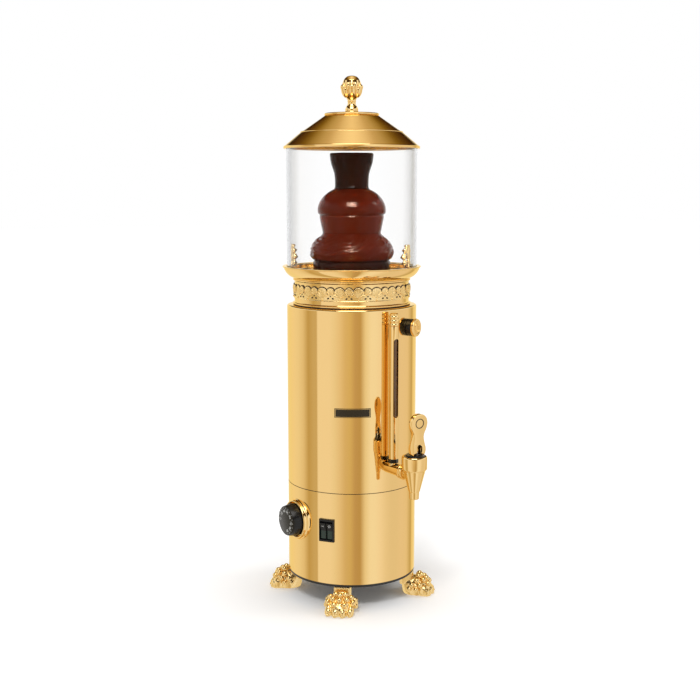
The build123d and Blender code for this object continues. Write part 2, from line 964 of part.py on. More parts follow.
# ---- drive ----

def motor_mount():
    z0 = gearbox_top
    z1 = shelf_z - shelf_t
    plate = ring(motor_mount_r, motor_mount_hole_r, z0, z1)
    leg = disc(heater_leg_r + 1.0, z0 - 1, z1 + 1)
    return plate - [Rot(0, 0, b) * Pos(0, -heater_ring_r, 0) * leg for b in heater_leg_bearings]


def gearmotor():
    box_z = gearbox_top - gearbox_height
    box = Pos(0, 0, box_z) * Box(gearbox_side, gearbox_side, gearbox_height, align=LOW)
    box = chamfer(box.edges().filter_by(Axis.Z), gearbox_bevel)
    can = disc(motor_r, box_z - motor_height, box_z)
    can = chamfer(can.edges().sort_by(Axis.Z)[0], 3.0)
    bore = disc(shaft_r + running_gap, gearbox_top - shaft_depth - 1, gearbox_top + 1)
    return box + can - bore


def shaft_seal():
    z = tank_floor_z - tank_wall - shaft_seal_rise
    return ring(sleeve_r - sleeve_wall, shaft_r + running_gap, z, z + shaft_seal_height - 2)


def stirrer_shaft():
    """Shaft from the gearbox into the tank, with a hub and two mixing paddles."""
    shaft = disc(shaft_r, gearbox_top - shaft_depth, hub_z)
    shaft += disc(hub_r, hub_z, auger_z)
    arm = Pos(0, 0, hub_z) * Box(2 * paddle_r, paddle_t, paddle_width, align=LOW)
    trim = disc(paddle_r, hub_z, auger_z)
    return shaft + (arm & trim)


# ---- thermostat ----

def thermostat_bezel():
    """Polished ring that saddles the casing round the knob."""
    saddle = body_r - sqrt(body_r ** 2 - bezel_r ** 2) + 1
    rim = rod(bezel_r, body_r - saddle, bezel_face, thermostat_z)
    rim = chamfer(rim.edges().sort_by(Axis.Y)[0], bezel_round)
    rim -= rod(bezel_in_r, body_r - saddle - 1, bezel_face + 1, thermostat_z)
    rim -= disc(body_r + running_gap, thermostat_z - bezel_r - 1, thermostat_z + bezel_r + 1)
    notch = block(bezel_r - bezel_in_r + 2, notch_width, bezel_face - 1.5, bezel_face + 1,
                  thermostat_z, x=(bezel_r + bezel_in_r) / 2)
    return turn(thermostat_bearing, rim - notch)


def thermostat_body():
    mid = (thermostat_back + thermostat_front) / 2
    case = block(thermostat_side, thermostat_side, thermostat_back, thermostat_front, thermostat_z)
    case += rod(bush_r, mid, body_r + 1.5, thermostat_z)
    return turn(thermostat_bearing, case - rod(spindle_r + running_gap, mid, body_r + 3, thermostat_z))


def thermostat_knob():
    """Tapered knob on its spindle."""
    length = knob_face - knob_back
    knob = front(knob_back, thermostat_z) * Cone(knob_r, knob_face_r, length, align=LOW)
    knob = chamfer(knob.edges().sort_by(Axis.Y)[0], 1.0)
    mid = (thermostat_back + thermostat_front) / 2
    return turn(thermostat_bearing, knob + rod(spindle_r, mid + 1, knob_back + 1, thermostat_z))


# ---- switch ----

def rocker_offset():
    return (rocker_width + 1.4) / 2


def switch_housing():
    frame = block(switch_frame_width, switch_frame_height, body_r - 4, switch_frame_face, switch_z)
    frame = chamfer(frame.faces().sort_by(Axis.Y)[0].edges(), 0.8)
    frame -= disc(body_r + running_gap, switch_z - switch_frame_height,
                  switch_z + switch_frame_height)
    case = block(switch_body_width, switch_body_height, switch_back, body_r + 1, switch_z)
    case += frame
    window_height = rocker_length + 4 * rocker_gap + 1.2
    for side in (-1, 1):
        case -= block(rocker_width + 2 * rocker_gap, window_height,
                      switch_frame_face - rocker_pocket, switch_frame_face + 1,
                      switch_z, x=side * rocker_offset())
    return turn(switch_bearing, case)


def rocker(side):
    """A rocker, its lower half pressed in at rest, that tips about a level axis."""
    half = rocker_length / 2
    face = Polygon(
        (-half, -1.5),
        (-half, rocker_rise - 1.2),
        (0, rocker_rise - 2.8),
        (half, rocker_rise - 1.2),
        (half, -1.5),
        align=None,
    )
    profile = face + Circle(rocker_hub_r)
    plane = Plane(origin=(0, 0, 0), x_dir=(0, 0, 1), z_dir=(-1, 0, 0))
    bar = extrude(plane * profile, rocker_width / 2, both=True)
    tipped = Rot(rocker_tilt, 0, 0) * bar
    return turn(switch_bearing, Pos(side * rocker_offset(), -rocker_pivot, switch_z) * tipped)


def cable_gland():
    """Gland at the back for the mains cord, with its nut inside the casing."""
    inner = inside_r - 1.0
    gland = rod(gland_thread_r, inner - gland_inner_length, body_r + 1, gland_z)
    gland += regular_bar(gland_hex_r, 6, body_r + 0.6, body_r + 0.6 + gland_hex_t, gland_z)
    gland += rod(gland_dome_r, body_r + gland_hex_t, body_r + gland_hex_t + gland_dome_t, gland_z)
    gland += regular_bar(gland_hex_r, 6, inner - gland_nut_t, inner, gland_z)
    gland -= rod(gland_bore_r, inner - gland_inner_length - 1, body_r + 2 * gland_dome_t, gland_z)
    return turn(gland_bearing, gland)


# ---- tap ----

def over_tap(shape):
    """Moves a shape from the column axis to the axis of the tap."""
    return Pos(0, -tap_reach, 0) * shape


def tap_shank():
    shank = rod(shank_r, shank_inner_end, shank_outer_end, tap_z)
    boss_top = gauge_z - gauge_nut_t
    shank += Pos(0, -gauge_rho, 0) * disc(gauge_boss_r, tap_z, boss_top)
    shank -= rod(shank_bore_r, shank_inner_end - 1, shank_outer_end + 1, tap_z)
    return shank - Pos(0, -gauge_rho, 0) * disc(gauge_passage_r, tap_z, boss_top + 1)


def shank_nut():
    edge = sqrt(tank_in_r ** 2 - shank_nut_r ** 2) - running_gap
    nut = regular_bar(shank_nut_r, 6, edge - shank_nut_t, edge, tap_z)
    return nut - rod(shank_r + running_gap, edge - shank_nut_t - 1, edge + 1, tap_z)


def union_nut():
    z0 = shank_outer_end - union_t
    nut = rod(union_r, z0, shank_outer_end + union_overlap, tap_z)
    nut = chamfer(nut.edges().filter_by(GeomType.CIRCLE), 1.0)
    return nut - rod(shank_r + running_gap, z0 - 1, shank_outer_end + 3, tap_z)


def tap_body():
    """Valve body: a cone that narrows to the spout under a round collar."""
    cone_top = tap_z + cone_rise
    shape = over_tap(turned(
        (0, spout_z),
        (spout_r, spout_z),
        (cone_r, cone_top),
        (tap_collar_r, cone_top + collar_bevel),
        (tap_collar_r, tap_top - 1.2),
        (tap_collar_r - 1.2, tap_top),
        (0, tap_top),
    ))
    shape += rod(shank_r, shank_outer_end, tap_reach, tap_z)
    shape -= rod(shank_bore_r, shank_outer_end - 1, tap_reach, tap_z)
    shape -= over_tap(disc(outlet_r, spout_z - 1, tap_top))
    shape -= over_tap(disc(chamber_r, seat_z, tap_top))
    return shape - over_tap(disc(thread_r, tap_top - thread_depth, tap_top + 1))


def seat_cup():
    z = seat_z + seat_gap
    cup = disc(seat_cup_r, z, z + seat_cup_t)
    cup = chamfer(cup.edges().sort_by(Axis.Z)[0], 1.5)
    return over_tap(cup - disc(stem_r + running_gap, z + 2, z + seat_cup_t + 1))


def tap_stem():
    """Valve stem: spring plate, rod and an eye that the lever pin passes through."""
    z = seat_z + seat_gap
    stem = disc(stem_r, z + 2.5, pin_z)
    stem += disc(spring_plate_r, z + seat_cup_t, spring_z)
    eye = Pos(0, 0, pin_z) * Rot(0, 90, 0) * Cylinder(eye_r, eye_width)
    hole = Pos(0, 0, pin_z) * Rot(0, 90, 0) * Cylinder(pin_r + running_gap, eye_width + 2)
    return over_tap(stem + eye - hole)


def tap_spring():
    height = spring_top - spring_z - 2 * spring_wire_r - 0.2
    start = spring_z + spring_wire_r + 0.1
    path = Helix(height / spring_turns, height, spring_r, center=(0, 0, start))
    wire = Plane(origin=path @ 0, z_dir=path % 0) * RegularPolygon(spring_wire_r, 6)
    return over_tap(sweep(wire, path=path, is_frenet=True))


def tap_bonnet():
    """Black bonnet that closes the valve and guides the stem."""
    z = tap_top - thread_depth
    bonnet = disc(thread_r - sheet_gap, z, tap_top) + disc(bonnet_cap_r, tap_top, bonnet_top)
    bonnet -= disc(spring_pocket_r, z - 1, z + spring_pocket_depth)
    return over_tap(bonnet - disc(stem_r + running_gap, z - 1, bonnet_top + 1))


def tap_lever():
    """Paddle lever whose round heel sits off the pin's centre, so tipping it lifts the stem."""
    heel_y = tap_reach + heel_offset
    neck_z = pin_z + lever_neck_rise
    top_z = pin_z + lever_height
    root = heel_y - lever_t / 2 - 1
    side = Pos(heel_y, pin_z) * Circle(heel_r)
    side += Polygon(
        (root, pin_z),
        (root + lever_t + 2, pin_z),
        (root + lever_t + lever_lean, top_z),
        (root + lever_lean, top_z),
        align=None,
    )
    slab = extrude(SIDE * side, lever_head_width / 2, both=True)
    head_z = top_z - lever_head_width / 2
    outline = Pos(0, head_z) * Circle(lever_head_width / 2)
    outline += Polygon(
        (-lever_neck_width / 2, neck_z),
        (lever_neck_width / 2, neck_z),
        (lever_head_width / 2 - 0.3, head_z),
        (-lever_head_width / 2 + 0.3, head_z),
        align=None,
    )
    outline += Pos(0, (neck_z + pin_z - heel_r) / 2) * Rectangle(
        lever_boss_width, neck_z - pin_z + heel_r)
    depth = 2 * (heel_r + heel_offset + lever_lean)
    lever = slab & extrude(front(tap_reach - depth, 0) * outline, 2 * depth)
    slot_half = eye_r + 1.2
    slot = Pos(0, pin_z + slot_half - lever_slot / 2) * Circle(lever_slot / 2)
    slot += Pos(0, pin_z + slot_half - lever_slot / 2) * Rectangle(
        lever_slot, 2 * heel_r + slot_half, align=(Align.CENTER, Align.MAX))
    lever -= extrude(front(tap_reach - depth, 0) * slot, 2 * depth)
    lever -= rod(medallion_r, root + lever_t + lever_lean - medallion_depth - 1,
                 tap_reach + depth, top_z - medallion_drop)
    hole = Pos(0, 0, pin_z) * Rot(0, 90, 0) * Cylinder(pin_r, lever_boss_width + 2)
    return lever - over_tap(hole)


def lever_pin():
    pin = Pos(0, 0, pin_z) * Rot(0, 90, 0) * Cylinder(pin_r, lever_boss_width)
    return over_tap(pin)


# ---- level gauge ----

def over_gauge(shape):
    """Moves a shape from the column axis to the axis of the gauge."""
    return Pos(0, -gauge_rho, 0) * shape


def gauge_tube():
    """Sleeve round the gauge glass, with a long rounded window at the front."""
    sleeve = ring(gauge_r, gauge_bore_r, gauge_z, gauge_top)
    slot = SlotOverall(window_length, window_width, rotation=90)
    window = extrude(front(0, gauge_z + window_rise + window_length / 2) * slot, gauge_r + 2)
    return over_gauge(sleeve - window)


def gauge_glass():
    tube = ring(gauge_glass_r, gauge_glass_r - gauge_glass_wall, gauge_z, gauge_top - gauge_glass_drop)
    return over_gauge(tube)


def gauge_foot_nut():
    """Black square packing nut between the shank and the gauge."""
    z = gauge_z - gauge_nut_t
    nut = Pos(0, 0, z) * Box(gauge_nut_side, gauge_nut_side, gauge_nut_t, align=LOW)
    nut = chamfer(nut.edges().filter_by(Axis.Z), 0.8)
    return over_gauge(nut - disc(gauge_passage_r, z - 1, gauge_z + 1))


def gauge_cap():
    """Ringed cap on top of the gauge; its plug fits the sleeve."""
    pitch = gauge_cap_height / 3
    points = [(0, gauge_top)]
    for i in range(3):
        z = gauge_top + i * pitch
        points += [
            (gauge_cap_bead_r, z),
            (gauge_cap_bead_r, z + 0.55 * pitch),
            (gauge_cap_r, z + 0.7 * pitch),
            (gauge_cap_r, z + pitch),
        ]
    points += [(gauge_cap_r - 2.5, gauge_top + gauge_cap_height + 1.8), (0, gauge_top + gauge_cap_height + 1.8)]
    plug = disc(gauge_bore_r - sheet_gap, gauge_top - gauge_cap_plug, gauge_top)
    return over_gauge(turned(*points) + plug)


# ---- water filler ----

def filler_neck():
    """Pipe from the water jacket through the casing, with a flange that saddles it."""
    pipe = rod(filler_pipe_r, jacket_r - jacket_wall - 1, filler_pipe_end, filler_z)
    flange = rod(filler_flange_r, body_r - 3, filler_flange_face, filler_z)
    flange -= disc(body_r + running_gap, filler_z - 2 * filler_flange_r,
                   filler_z + 2 * filler_flange_r)
    neck = pipe + flange
    bore = rod(filler_bore_r, jacket_r - jacket_wall - 2, filler_pipe_end + 1, filler_z)
    return turn(filler_bearing, neck - bore)


def filler_washer():
    washer = rod(filler_flange_r, filler_flange_face, filler_washer_face, filler_z)
    washer = chamfer(washer.edges().filter_by(GeomType.CIRCLE), 1.0)
    hole = rod(filler_pipe_r + sheet_gap, body_r, filler_washer_face + 1, filler_z)
    return turn(filler_bearing, washer - hole)


def filler_cap():
    """Screw cap whose plug closes the filler pipe."""
    cap = rod(filler_cap_r, filler_washer_face, filler_cap_face, filler_z)
    cap = chamfer(cap.edges().filter_by(GeomType.CIRCLE), 1.0)
    cap -= rod(filler_dish_r, filler_cap_face - filler_dish_depth, filler_cap_face + 1, filler_z)
    cap += rod(filler_bore_r - sheet_gap, filler_plug_end, filler_washer_face, filler_z)
    return turn(filler_bearing, cap)


pieces = {
    "base_plate": base_plate,
    "foot_screws": foot_screws,
    "base_shell": base_shell,
    "bulkhead": bulkhead,
    "upper_casing": upper_casing,
    "label_plate": label_plate,
    "collar_seal": collar_seal,
    "neck_collar": neck_collar,
    "ornament_band": ornament_band,
    "fountain_tray": fountain_tray,
    "glass_gasket": glass_gasket,
    "glass_cylinder": glass_cylinder,
    "leaf_clips": leaf_clips,
    "clip_screws": clip_screws,
    "lid": lid,
    "lid_top_plate": lid_top_plate,
    "finial": finial,
    "finial_nut": finial_nut,
    "fountain_base": fountain_base,
    "fountain_lower_tier": fountain_lower_tier,
    "fountain_middle_tier": fountain_middle_tier,
    "fountain_crown": fountain_crown,
    "riser_tube": riser_tube,
    "auger": auger,
    "stirrer_shaft": stirrer_shaft,
    "shaft_seal": shaft_seal,
    "gearmotor": gearmotor,
    "motor_mount": motor_mount,
    "water_jacket": water_jacket,
    "chocolate_tank": chocolate_tank,
    "tank_gasket": tank_gasket,
    "heater_element": heater_element,
    "thermostat_bezel": thermostat_bezel,
    "thermostat_body": thermostat_body,
    "thermostat_knob": thermostat_knob,
    "switch_housing": switch_housing,
    "rocker_left": lambda: rocker(-1),
    "rocker_right": lambda: rocker(1),
    "cable_gland": cable_gland,
    "tap_shank": tap_shank,
    "shank_nut": shank_nut,
    "union_nut": union_nut,
    "tap_body": tap_body,
    "seat_cup": seat_cup,
    "tap_stem": tap_stem,
    "tap_spring": tap_spring,
    "tap_bonnet": tap_bonnet,
    "tap_lever": tap_lever,
    "lever_pin": lever_pin,
    "gauge_tube": gauge_tube,
    "gauge_glass": gauge_glass,
    "gauge_foot_nut": gauge_foot_nut,
    "gauge_cap": gauge_cap,
    "filler_neck": filler_neck,
    "filler_washer": filler_washer,
    "filler_cap": filler_cap,
}

os.makedirs("parts", exist_ok=True)
for name, bearing in foot_bearings.items():
    export_step(foot(bearing), f"parts/foot_{name}.step")
for name, make in pieces.items():
    export_step(make(), f"parts/{name}.step")
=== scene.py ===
import bpy
from math import atan2, cos, hypot, pi, radians, sin, sqrt
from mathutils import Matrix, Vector, noise


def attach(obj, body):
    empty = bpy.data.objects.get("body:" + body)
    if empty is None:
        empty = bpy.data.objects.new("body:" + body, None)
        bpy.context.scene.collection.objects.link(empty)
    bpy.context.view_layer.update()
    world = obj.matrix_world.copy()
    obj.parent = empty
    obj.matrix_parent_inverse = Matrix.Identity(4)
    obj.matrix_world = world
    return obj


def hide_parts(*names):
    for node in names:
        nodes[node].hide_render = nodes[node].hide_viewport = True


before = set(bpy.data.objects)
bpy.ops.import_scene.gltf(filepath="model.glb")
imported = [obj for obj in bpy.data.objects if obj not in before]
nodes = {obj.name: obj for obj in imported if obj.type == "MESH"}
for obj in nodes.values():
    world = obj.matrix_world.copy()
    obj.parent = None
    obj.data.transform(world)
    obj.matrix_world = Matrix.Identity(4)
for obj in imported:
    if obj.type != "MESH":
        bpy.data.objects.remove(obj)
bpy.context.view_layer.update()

scene = bpy.context.scene

# ---- camera ----
# A long lens a little above half height, 1.65 m from the column axis and looking
# slightly down, so that the tap stands at the right and the thermostat at the left.
view_bearing = radians(-33.4)
camera_data = bpy.data.cameras.new("camera")
camera_data.lens = 57.96
camera_data.sensor_width = 36.0
camera_data.clip_start, camera_data.clip_end = 0.05, 60.0
camera = bpy.data.objects.new("camera", camera_data)
scene.collection.objects.link(camera)
camera.location = (
    1.65 * sin(view_bearing) - 0.0025 * cos(view_bearing),
    -1.65 * cos(view_bearing) - 0.0025 * sin(view_bearing),
    0.605,
)
camera.rotation_euler = (radians(90 - 8.21), 0.0, view_bearing)
scene.camera = camera
scene.view_settings.view_transform = "Standard"

# ---- studio ----
# A white tent with a few brown flags, which polished plate shows as upright bands. Its
# ceiling is dark round a bright middle, the floor is white paper, and soft lamps hang above.


def linear(code):
    """An sRGB hex colour as the linear colour that the shaders take."""
    parts = [int(code[i:i + 2], 16) / 255 for i in (1, 3, 5)]
    return [c / 12.92 if c <= 0.04045 else ((c + 0.055) / 1.055) ** 2.4 for c in parts] + [1.0]


def feed(node, sockets):
    """Feeds a node's sockets with numbers or with other nodes' outputs."""
    for socket, value in sockets.items():
        if isinstance(value, bpy.types.NodeSocket):
            node.id_data.links.new(value, node.inputs[socket])
        else:
            node.inputs[socket].default_value = value
    return node


def put(tree, kind, sockets=None, **settings):
    """Adds a node with its settings and links."""
    node = tree.nodes.new(kind)
    for key, value in settings.items():
        setattr(node, key, value)
    return feed(node, sockets or {})


def shades(ramp, stops):
    """Sets a colour ramp's stops from (place, hex colour) pairs."""
    elements = ramp.color_ramp.elements
    while len(elements) < len(stops):
        elements.new(0.5)
    for element, (place, code) in zip(elements, stops):
        element.position = place
        element.color = linear(code)


tent = bpy.data.worlds.new("studio_tent")
tent.use_nodes = True
scene.world = tent
sky = tent.node_tree
sky.nodes.clear()
room_white = linear("#FFFFFF")
direction = put(sky, "ShaderNodeTexCoord").outputs["Generated"]
from_lens = put(sky, "ShaderNodeMapping", {"Vector": direction, "Rotation": (0, 0, radians(90) - view_bearing)})
around = put(sky, "ShaderNodeTexGradient", {"Vector": from_lens.outputs[0]}, gradient_type="RADIAL")
flags = put(sky, "ShaderNodeValToRGB", {"Fac": around.outputs["Fac"]})
shades(flags, [
    (0.083, "#FFFFFF"), (0.144, "#FFF8EE"), (0.194, "#F8F1DF"), (0.233, "#EDE0C5"), (0.269, "#CAB37E"),
    (0.303, "#D4C29A"), (0.321, "#D4C29A"), (0.326, "#FCF5EB"), (0.389, "#FCF5EB"), (0.414, "#F6EFDF"),
    (0.442, "#EEE0C8"), (0.467, "#DFCCA7"), (0.492, "#D9C595"), (0.517, "#C7AD83"), (0.542, "#C5AB79"),
    (0.567, "#F3EBD7"), (0.594, "#FFFEFB"), (0.619, "#FFFEFB"), (0.647, "#FDF7F1"), (0.678, "#F4ECDF"),
    (0.708, "#EEE5D5"), (0.742, "#EEE5D5"), (0.778, "#F2E7DA"), (0.828, "#F2E7DA"), (0.875, "#CDBF9D"),
    (0.897, "#FFF8EE"), (0.931, "#FFFFFF"),
])
climb = put(sky, "ShaderNodeSeparateXYZ", {"Vector": direction}).outputs["Z"]
# the ceiling darkens downwards, and sideways from a bright strip over the machine
sideways = put(sky, "ShaderNodeSeparateXYZ", {"Vector": from_lens.outputs[0]}).outputs["Y"]
aside = put(sky, "ShaderNodeMath", {0: sideways}, operation="ABSOLUTE")
level = put(sky, "ShaderNodeMath", {0: aside.outputs[0], 1: -0.5, 2: climb}, operation="MULTIPLY_ADD")
from_floor_up = put(sky, "ShaderNodeMapRange", {"Value": level.outputs[0], "From Min": -1.0})
roof = put(sky, "ShaderNodeValToRGB", {"Fac": from_floor_up.outputs[0]})
shades(roof, [
    (0.300, "#F6F6F6"), (0.420, "#FFFFFF"), (0.545, "#FFFFFF"), (0.590, "#271C08"), (0.635, "#412608"),
    (0.700, "#5F4616"), (0.750, "#7E6522"), (0.800, "#A48E59"), (0.850, "#BEAB81"), (0.885, "#CBB691"),
    (0.915, "#E1D0B2"), (0.960, "#F8EAD2"), (0.990, "#FFF4DE"),
])
over_flags = put(sky, "ShaderNodeMapRange", {"Value": climb, "From Min": 0.15, "From Max": 0.4})
upper_flags = put(sky, "ShaderNodeMix", {0: over_flags.outputs[0], 6: flags.outputs["Color"], 7: room_white},
                  data_type="RGBA")
banded = put(sky, "ShaderNodeMix", {0: 1.0, 6: upper_flags.outputs[2], 7: roof.outputs["Color"]},
             data_type="RGBA", blend_type="MULTIPLY")
ray = put(sky, "ShaderNodeLightPath")
seen = put(sky, "ShaderNodeBackground", {"Color": room_white, "Strength": 1.0})
fill = put(sky, "ShaderNodeBackground", {"Color": room_white, "Strength": 0.72})
mirrored = put(sky, "ShaderNodeBackground", {"Color": banded.outputs[2], "Strength": 1.1})
# white where the room is seen directly or through the glass, the flags wherever it is mirrored
bounces = put(sky, "ShaderNodeMath", {0: ray.outputs["Glossy Depth"], 1: ray.outputs["Diffuse Depth"]},
              operation="ADD")
straight = put(sky, "ShaderNodeMath", {0: bounces.outputs[0], 1: 0.5}, operation="LESS_THAN")
plain = put(sky, "ShaderNodeMixShader", {"Fac": straight.outputs[0], 1: fill.outputs[0], 2: seen.outputs[0]})
mirrored_in_glass = put(sky, "ShaderNodeMath",
                        {0: ray.outputs["Is Transmission Ray"], 1: ray.outputs["Glossy Depth"]},
                        operation="MULTIPLY", use_clamp=True)
glossy = put(sky, "ShaderNodeMath", {0: ray.outputs["Is Glossy Ray"], 1: mirrored_in_glass.outputs[0]},
             operation="MAXIMUM")
tented = put(sky, "ShaderNodeMixShader", {"Fac": glossy.outputs[0], 1: plain.outputs[0], 2: mirrored.outputs[0]})
put(sky, "ShaderNodeOutputWorld", {"Surface": tented.outputs[0]})


def lamp(name, size, power, place):
    """A square soft lamp that looks at the middle of the machine."""
    light = bpy.data.lights.new(name, "AREA")
    light.shape, light.size, light.energy = "SQUARE", size, power
    holder = bpy.data.objects.new(name, light)
    scene.collection.objects.link(holder)
    holder.location = place
    aim = -holder.location.copy()
    aim.z += 0.45
    holder.rotation_euler = aim.to_track_quat("-Z", "Y").to_euler()
    return holder


for softbox in (lamp("key_softbox", 0.5, 26.0, (-1.5, -1.5, 2.3)),
                lamp("right_softbox", 0.7, 9.0, (1.9, -1.0, 1.9))):
    softbox.visible_glossy = False
# a third one over the camera lights only the wet chocolate, through the glass
sparkle = lamp("highlight_softbox", 1.0, 600.0, (1.6 * sin(view_bearing), -1.6 * cos(view_bearing), 1.85))
sparkle.visible_diffuse = sparkle.visible_camera = False
sparkle.data.use_nodes = True
lit = sparkle.data.node_tree
scattered = put(lit, "ShaderNodeLightPath").outputs["Diffuse Depth"]
mirror_only = put(lit, "ShaderNodeMath", {0: scattered, 1: 0.5}, operation="LESS_THAN")
feed(lit.nodes["Emission"], {"Strength": mirror_only.outputs[0]})
wet_pieces = bpy.data.collections.new("wet_pieces")
sparkle.light_linking.receiver_collection = wet_pieces

# and a wide weak silk puts a soft glint on the castings
silk = lamp("silk_softbox", 1.6, 26.0, (1.3 * sin(view_bearing), -1.3 * cos(view_bearing), 2.2))
silk.visible_diffuse = silk.visible_transmission = silk.visible_camera = False

bpy.ops.object.select_all(action="DESELECT")
bpy.ops.mesh.primitive_plane_add(size=30.0, location=(0, 0, 0))
floor = bpy.context.object
floor.name = "floor"
paper = bpy.data.materials.new("white_paper_floor")
paper.use_nodes = True
sheet = paper.node_tree
sheet.nodes.clear()
path = put(sheet, "ShaderNodeLightPath")
matt = put(sheet, "ShaderNodeBsdfDiffuse", {"Color": linear("#FBFBFB")})
# a little light of its own lifts the far floor to white; it fades to none near the machine, so the shadow there is
# partly real and partly painted shade
spot = put(sheet, "ShaderNodeVectorMath", {0: put(sheet, "ShaderNodeTexCoord").outputs["Object"]}, operation="LENGTH")
lift = put(sheet, "ShaderNodeMapRange", {"Value": spot.outputs["Value"], "From Min": 0.06, "From Max": 0.34,
                                         "To Min": 0.0, "To Max": 0.3})
lifted = put(sheet, "ShaderNodeEmission", {"Color": room_white, "Strength": lift.outputs[0]})
white = put(sheet, "ShaderNodeAddShader", {0: matt.outputs[0], 1: lifted.outputs[0]})
under = put(sheet, "ShaderNodeMixShader",
            {"Fac": path.outputs["Is Camera Ray"], 1: matt.outputs[0], 2: white.outputs[0]})
clear = put(sheet, "ShaderNodeBsdfTransparent")
shown = put(sheet, "ShaderNodeMixShader",
            {"Fac": path.outputs["Is Glossy Ray"], 1: under.outputs[0], 2: clear.outputs[0]})
put(sheet, "ShaderNodeOutputMaterial", {"Surface": shown.outputs[0]})
floor.data.materials.append(paper)

# ---- base plate ----
# A pressed steel disc that closes the machine from below, with drain slots and four
# screw holes. It is painted satin black, and its rim locates the lower casing.


def finish(name, patterns, colours, rough, **sockets):
    """A finish from noise patterns on the piece's own coordinates, each given as (size across
    and bump depth in mm, detail, stretch). The first one moves the colour between two codes,
    and the last one the roughness, if rough is a pair. Other sockets are given by name."""
    material = bpy.data.materials.new(name)
    material.use_nodes = True
    tree = material.node_tree
    shader = feed(tree.nodes["Principled BSDF"], {key.replace("_", " "): value for key, value in sockets.items()})
    place = put(tree, "ShaderNodeTexCoord").outputs["Object"]
    fields, normal = [], None
    for size_mm, depth_mm, detail, stretch in patterns:
        scaled = put(tree, "ShaderNodeMapping", {"Vector": place, "Scale": stretch})
        grain = put(tree, "ShaderNodeTexNoise",
                    {"Vector": scaled.outputs[0], "Scale": 1000.0 / size_mm, "Detail": detail}).outputs["Fac"]
        fields.append(grain)
        if depth_mm:
            bump = put(tree, "ShaderNodeBump", {"Height": grain, "Distance": depth_mm / 1000.0, "Strength": 1.0})
            if normal:
                feed(bump, {"Normal": normal})
            normal = bump.outputs["Normal"]
    if normal:
        feed(shader, {"Normal": normal})
    if colours:
        mixed = put(tree, "ShaderNodeMix", {0: fields[0], 6: linear(colours[0]), 7: linear(colours[1])},
                    data_type="RGBA")
        feed(shader, {"Base Color": mixed.outputs[2]})
    if isinstance(rough, tuple):
        rough = put(tree, "ShaderNodeMapRange", {"Value": fields[-1], "From Min": 0.3, "From Max": 0.7,
                                                 "To Min": rough[0], "To Max": rough[1]}).outputs[0]
    feed(shader, {"Roughness": rough})
    return material


def dress(material, *names):
    """Gives CAD nodes a finish; their shapes stay as they are."""
    for name in names:
        mesh = nodes[name].data
        mesh.materials.clear()
        mesh.materials.append(material)


# satin paint on steel: dark, with a faint sprayed grain
all_ways = (1, 1, 1)
black_paint = finish("satin_black_paint", [(0.8, 0.02, 3.0, all_ways)], ("#17181A", "#202124"), (0.38, 0.5))
dress(black_paint, "base_plate", "bulkhead")

# ---- feet ----
# Four lion's paws of cast brass, plated with gold. Each has an ankle under the plate,
# a mane of curls and four clawed toes, and is held by one screw from above.
foot_bearings = {"front_left": -42.4, "front_right": 47.6, "rear_right": 137.6, "rear_left": -132.4}
foot_rho = 84.0

# cast and plated brass: bright, with the soft pits and swellings of a casting
gilt_edge = linear("#F9E8B5")
cast_gold = finish("gold_plated_cast_brass", [(3.0, 0.22, 2.0, all_ways), (0.7, 0.12, 2.0, all_ways)],
                   ("#F0D08E", "#F9E0AA"), (0.17, 0.26), Metallic=1.0, Specular_Tint=gilt_edge)


def alone(obj):
    """Selects one object and nothing else."""
    bpy.ops.object.select_all(action="DESELECT")
    obj.select_set(True)
    bpy.context.view_layer.objects.active = obj


def edit_all():
    """Opens the active object for editing, with all of it selected."""
    bpy.ops.object.mode_set(mode="EDIT")
    bpy.ops.mesh.select_all(action="SELECT")


def bake():
    """Writes the selected objects' place, turn and size into their meshes."""
    bpy.ops.object.transform_apply(location=True, rotation=True, scale=True)


def placed(lump, size, place, turn):
    """Sizes and places a new lump, all in mm and degrees."""
    lump.scale = [s / 1000 for s in size]
    lump.rotation_euler = [radians(t) for t in turn]
    lump.location = [p / 1000 for p in place]
    bake()
    return lump


def ball(size, place, turn=(0, 0, 0), rings=16):
    """An egg of wax pressed onto the model, by its full sizes."""
    bpy.ops.object.select_all(action="DESELECT")
    bpy.ops.mesh.primitive_uv_sphere_add(segments=2 * rings, ring_count=rings, radius=0.5)
    return placed(bpy.context.object, size, place, turn)


def block(size, place, turn=(0, 0, 0)):
    """A square block to be shaped, by its full sizes."""
    bpy.ops.object.select_all(action="DESELECT")
    bpy.ops.mesh.primitive_cube_add(size=1.0)
    return placed(bpy.context.object, size, place, turn)


def smooth(piece, degrees):
    """Shades a piece smooth, except over edges sharper than that."""
    alone(piece)
    bpy.ops.object.shade_smooth_by_angle(angle=radians(degrees))


def join(name, parts):
    """Joins pieces into one object."""
    bpy.ops.object.select_all(action="DESELECT")
    for part in parts:
        part.select_set(True)
    bpy.context.view_layer.objects.active = parts[0]
    bpy.ops.object.join()
    parts[0].name = name
    return parts[0]


def melt(obj, voxel_mm, smoothing):
    """Fuses overlapping lumps into one skin, as wax melts together, and softens it."""
    alone(obj)
    skin = obj.modifiers.new("skin", "REMESH")
    skin.mode, skin.voxel_size = "VOXEL", voxel_mm / 1000
    bpy.ops.object.modifier_apply(modifier="skin")
    soft = obj.modifiers.new("soft", "SMOOTH")
    soft.factor, soft.iterations = 0.5, smoothing
    bpy.ops.object.modifier_apply(modifier="soft")
    bpy.ops.object.shade_smooth()


def fit(obj, material, body, slot, *replaced):
    """Gives a finished piece its material, the body it rides on and the nodes it stands for; slot is not used."""
    obj.data.materials.clear()
    obj.data.materials.append(material)
    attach(obj, body)
    if replaced:
        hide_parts(*replaced)
    return obj


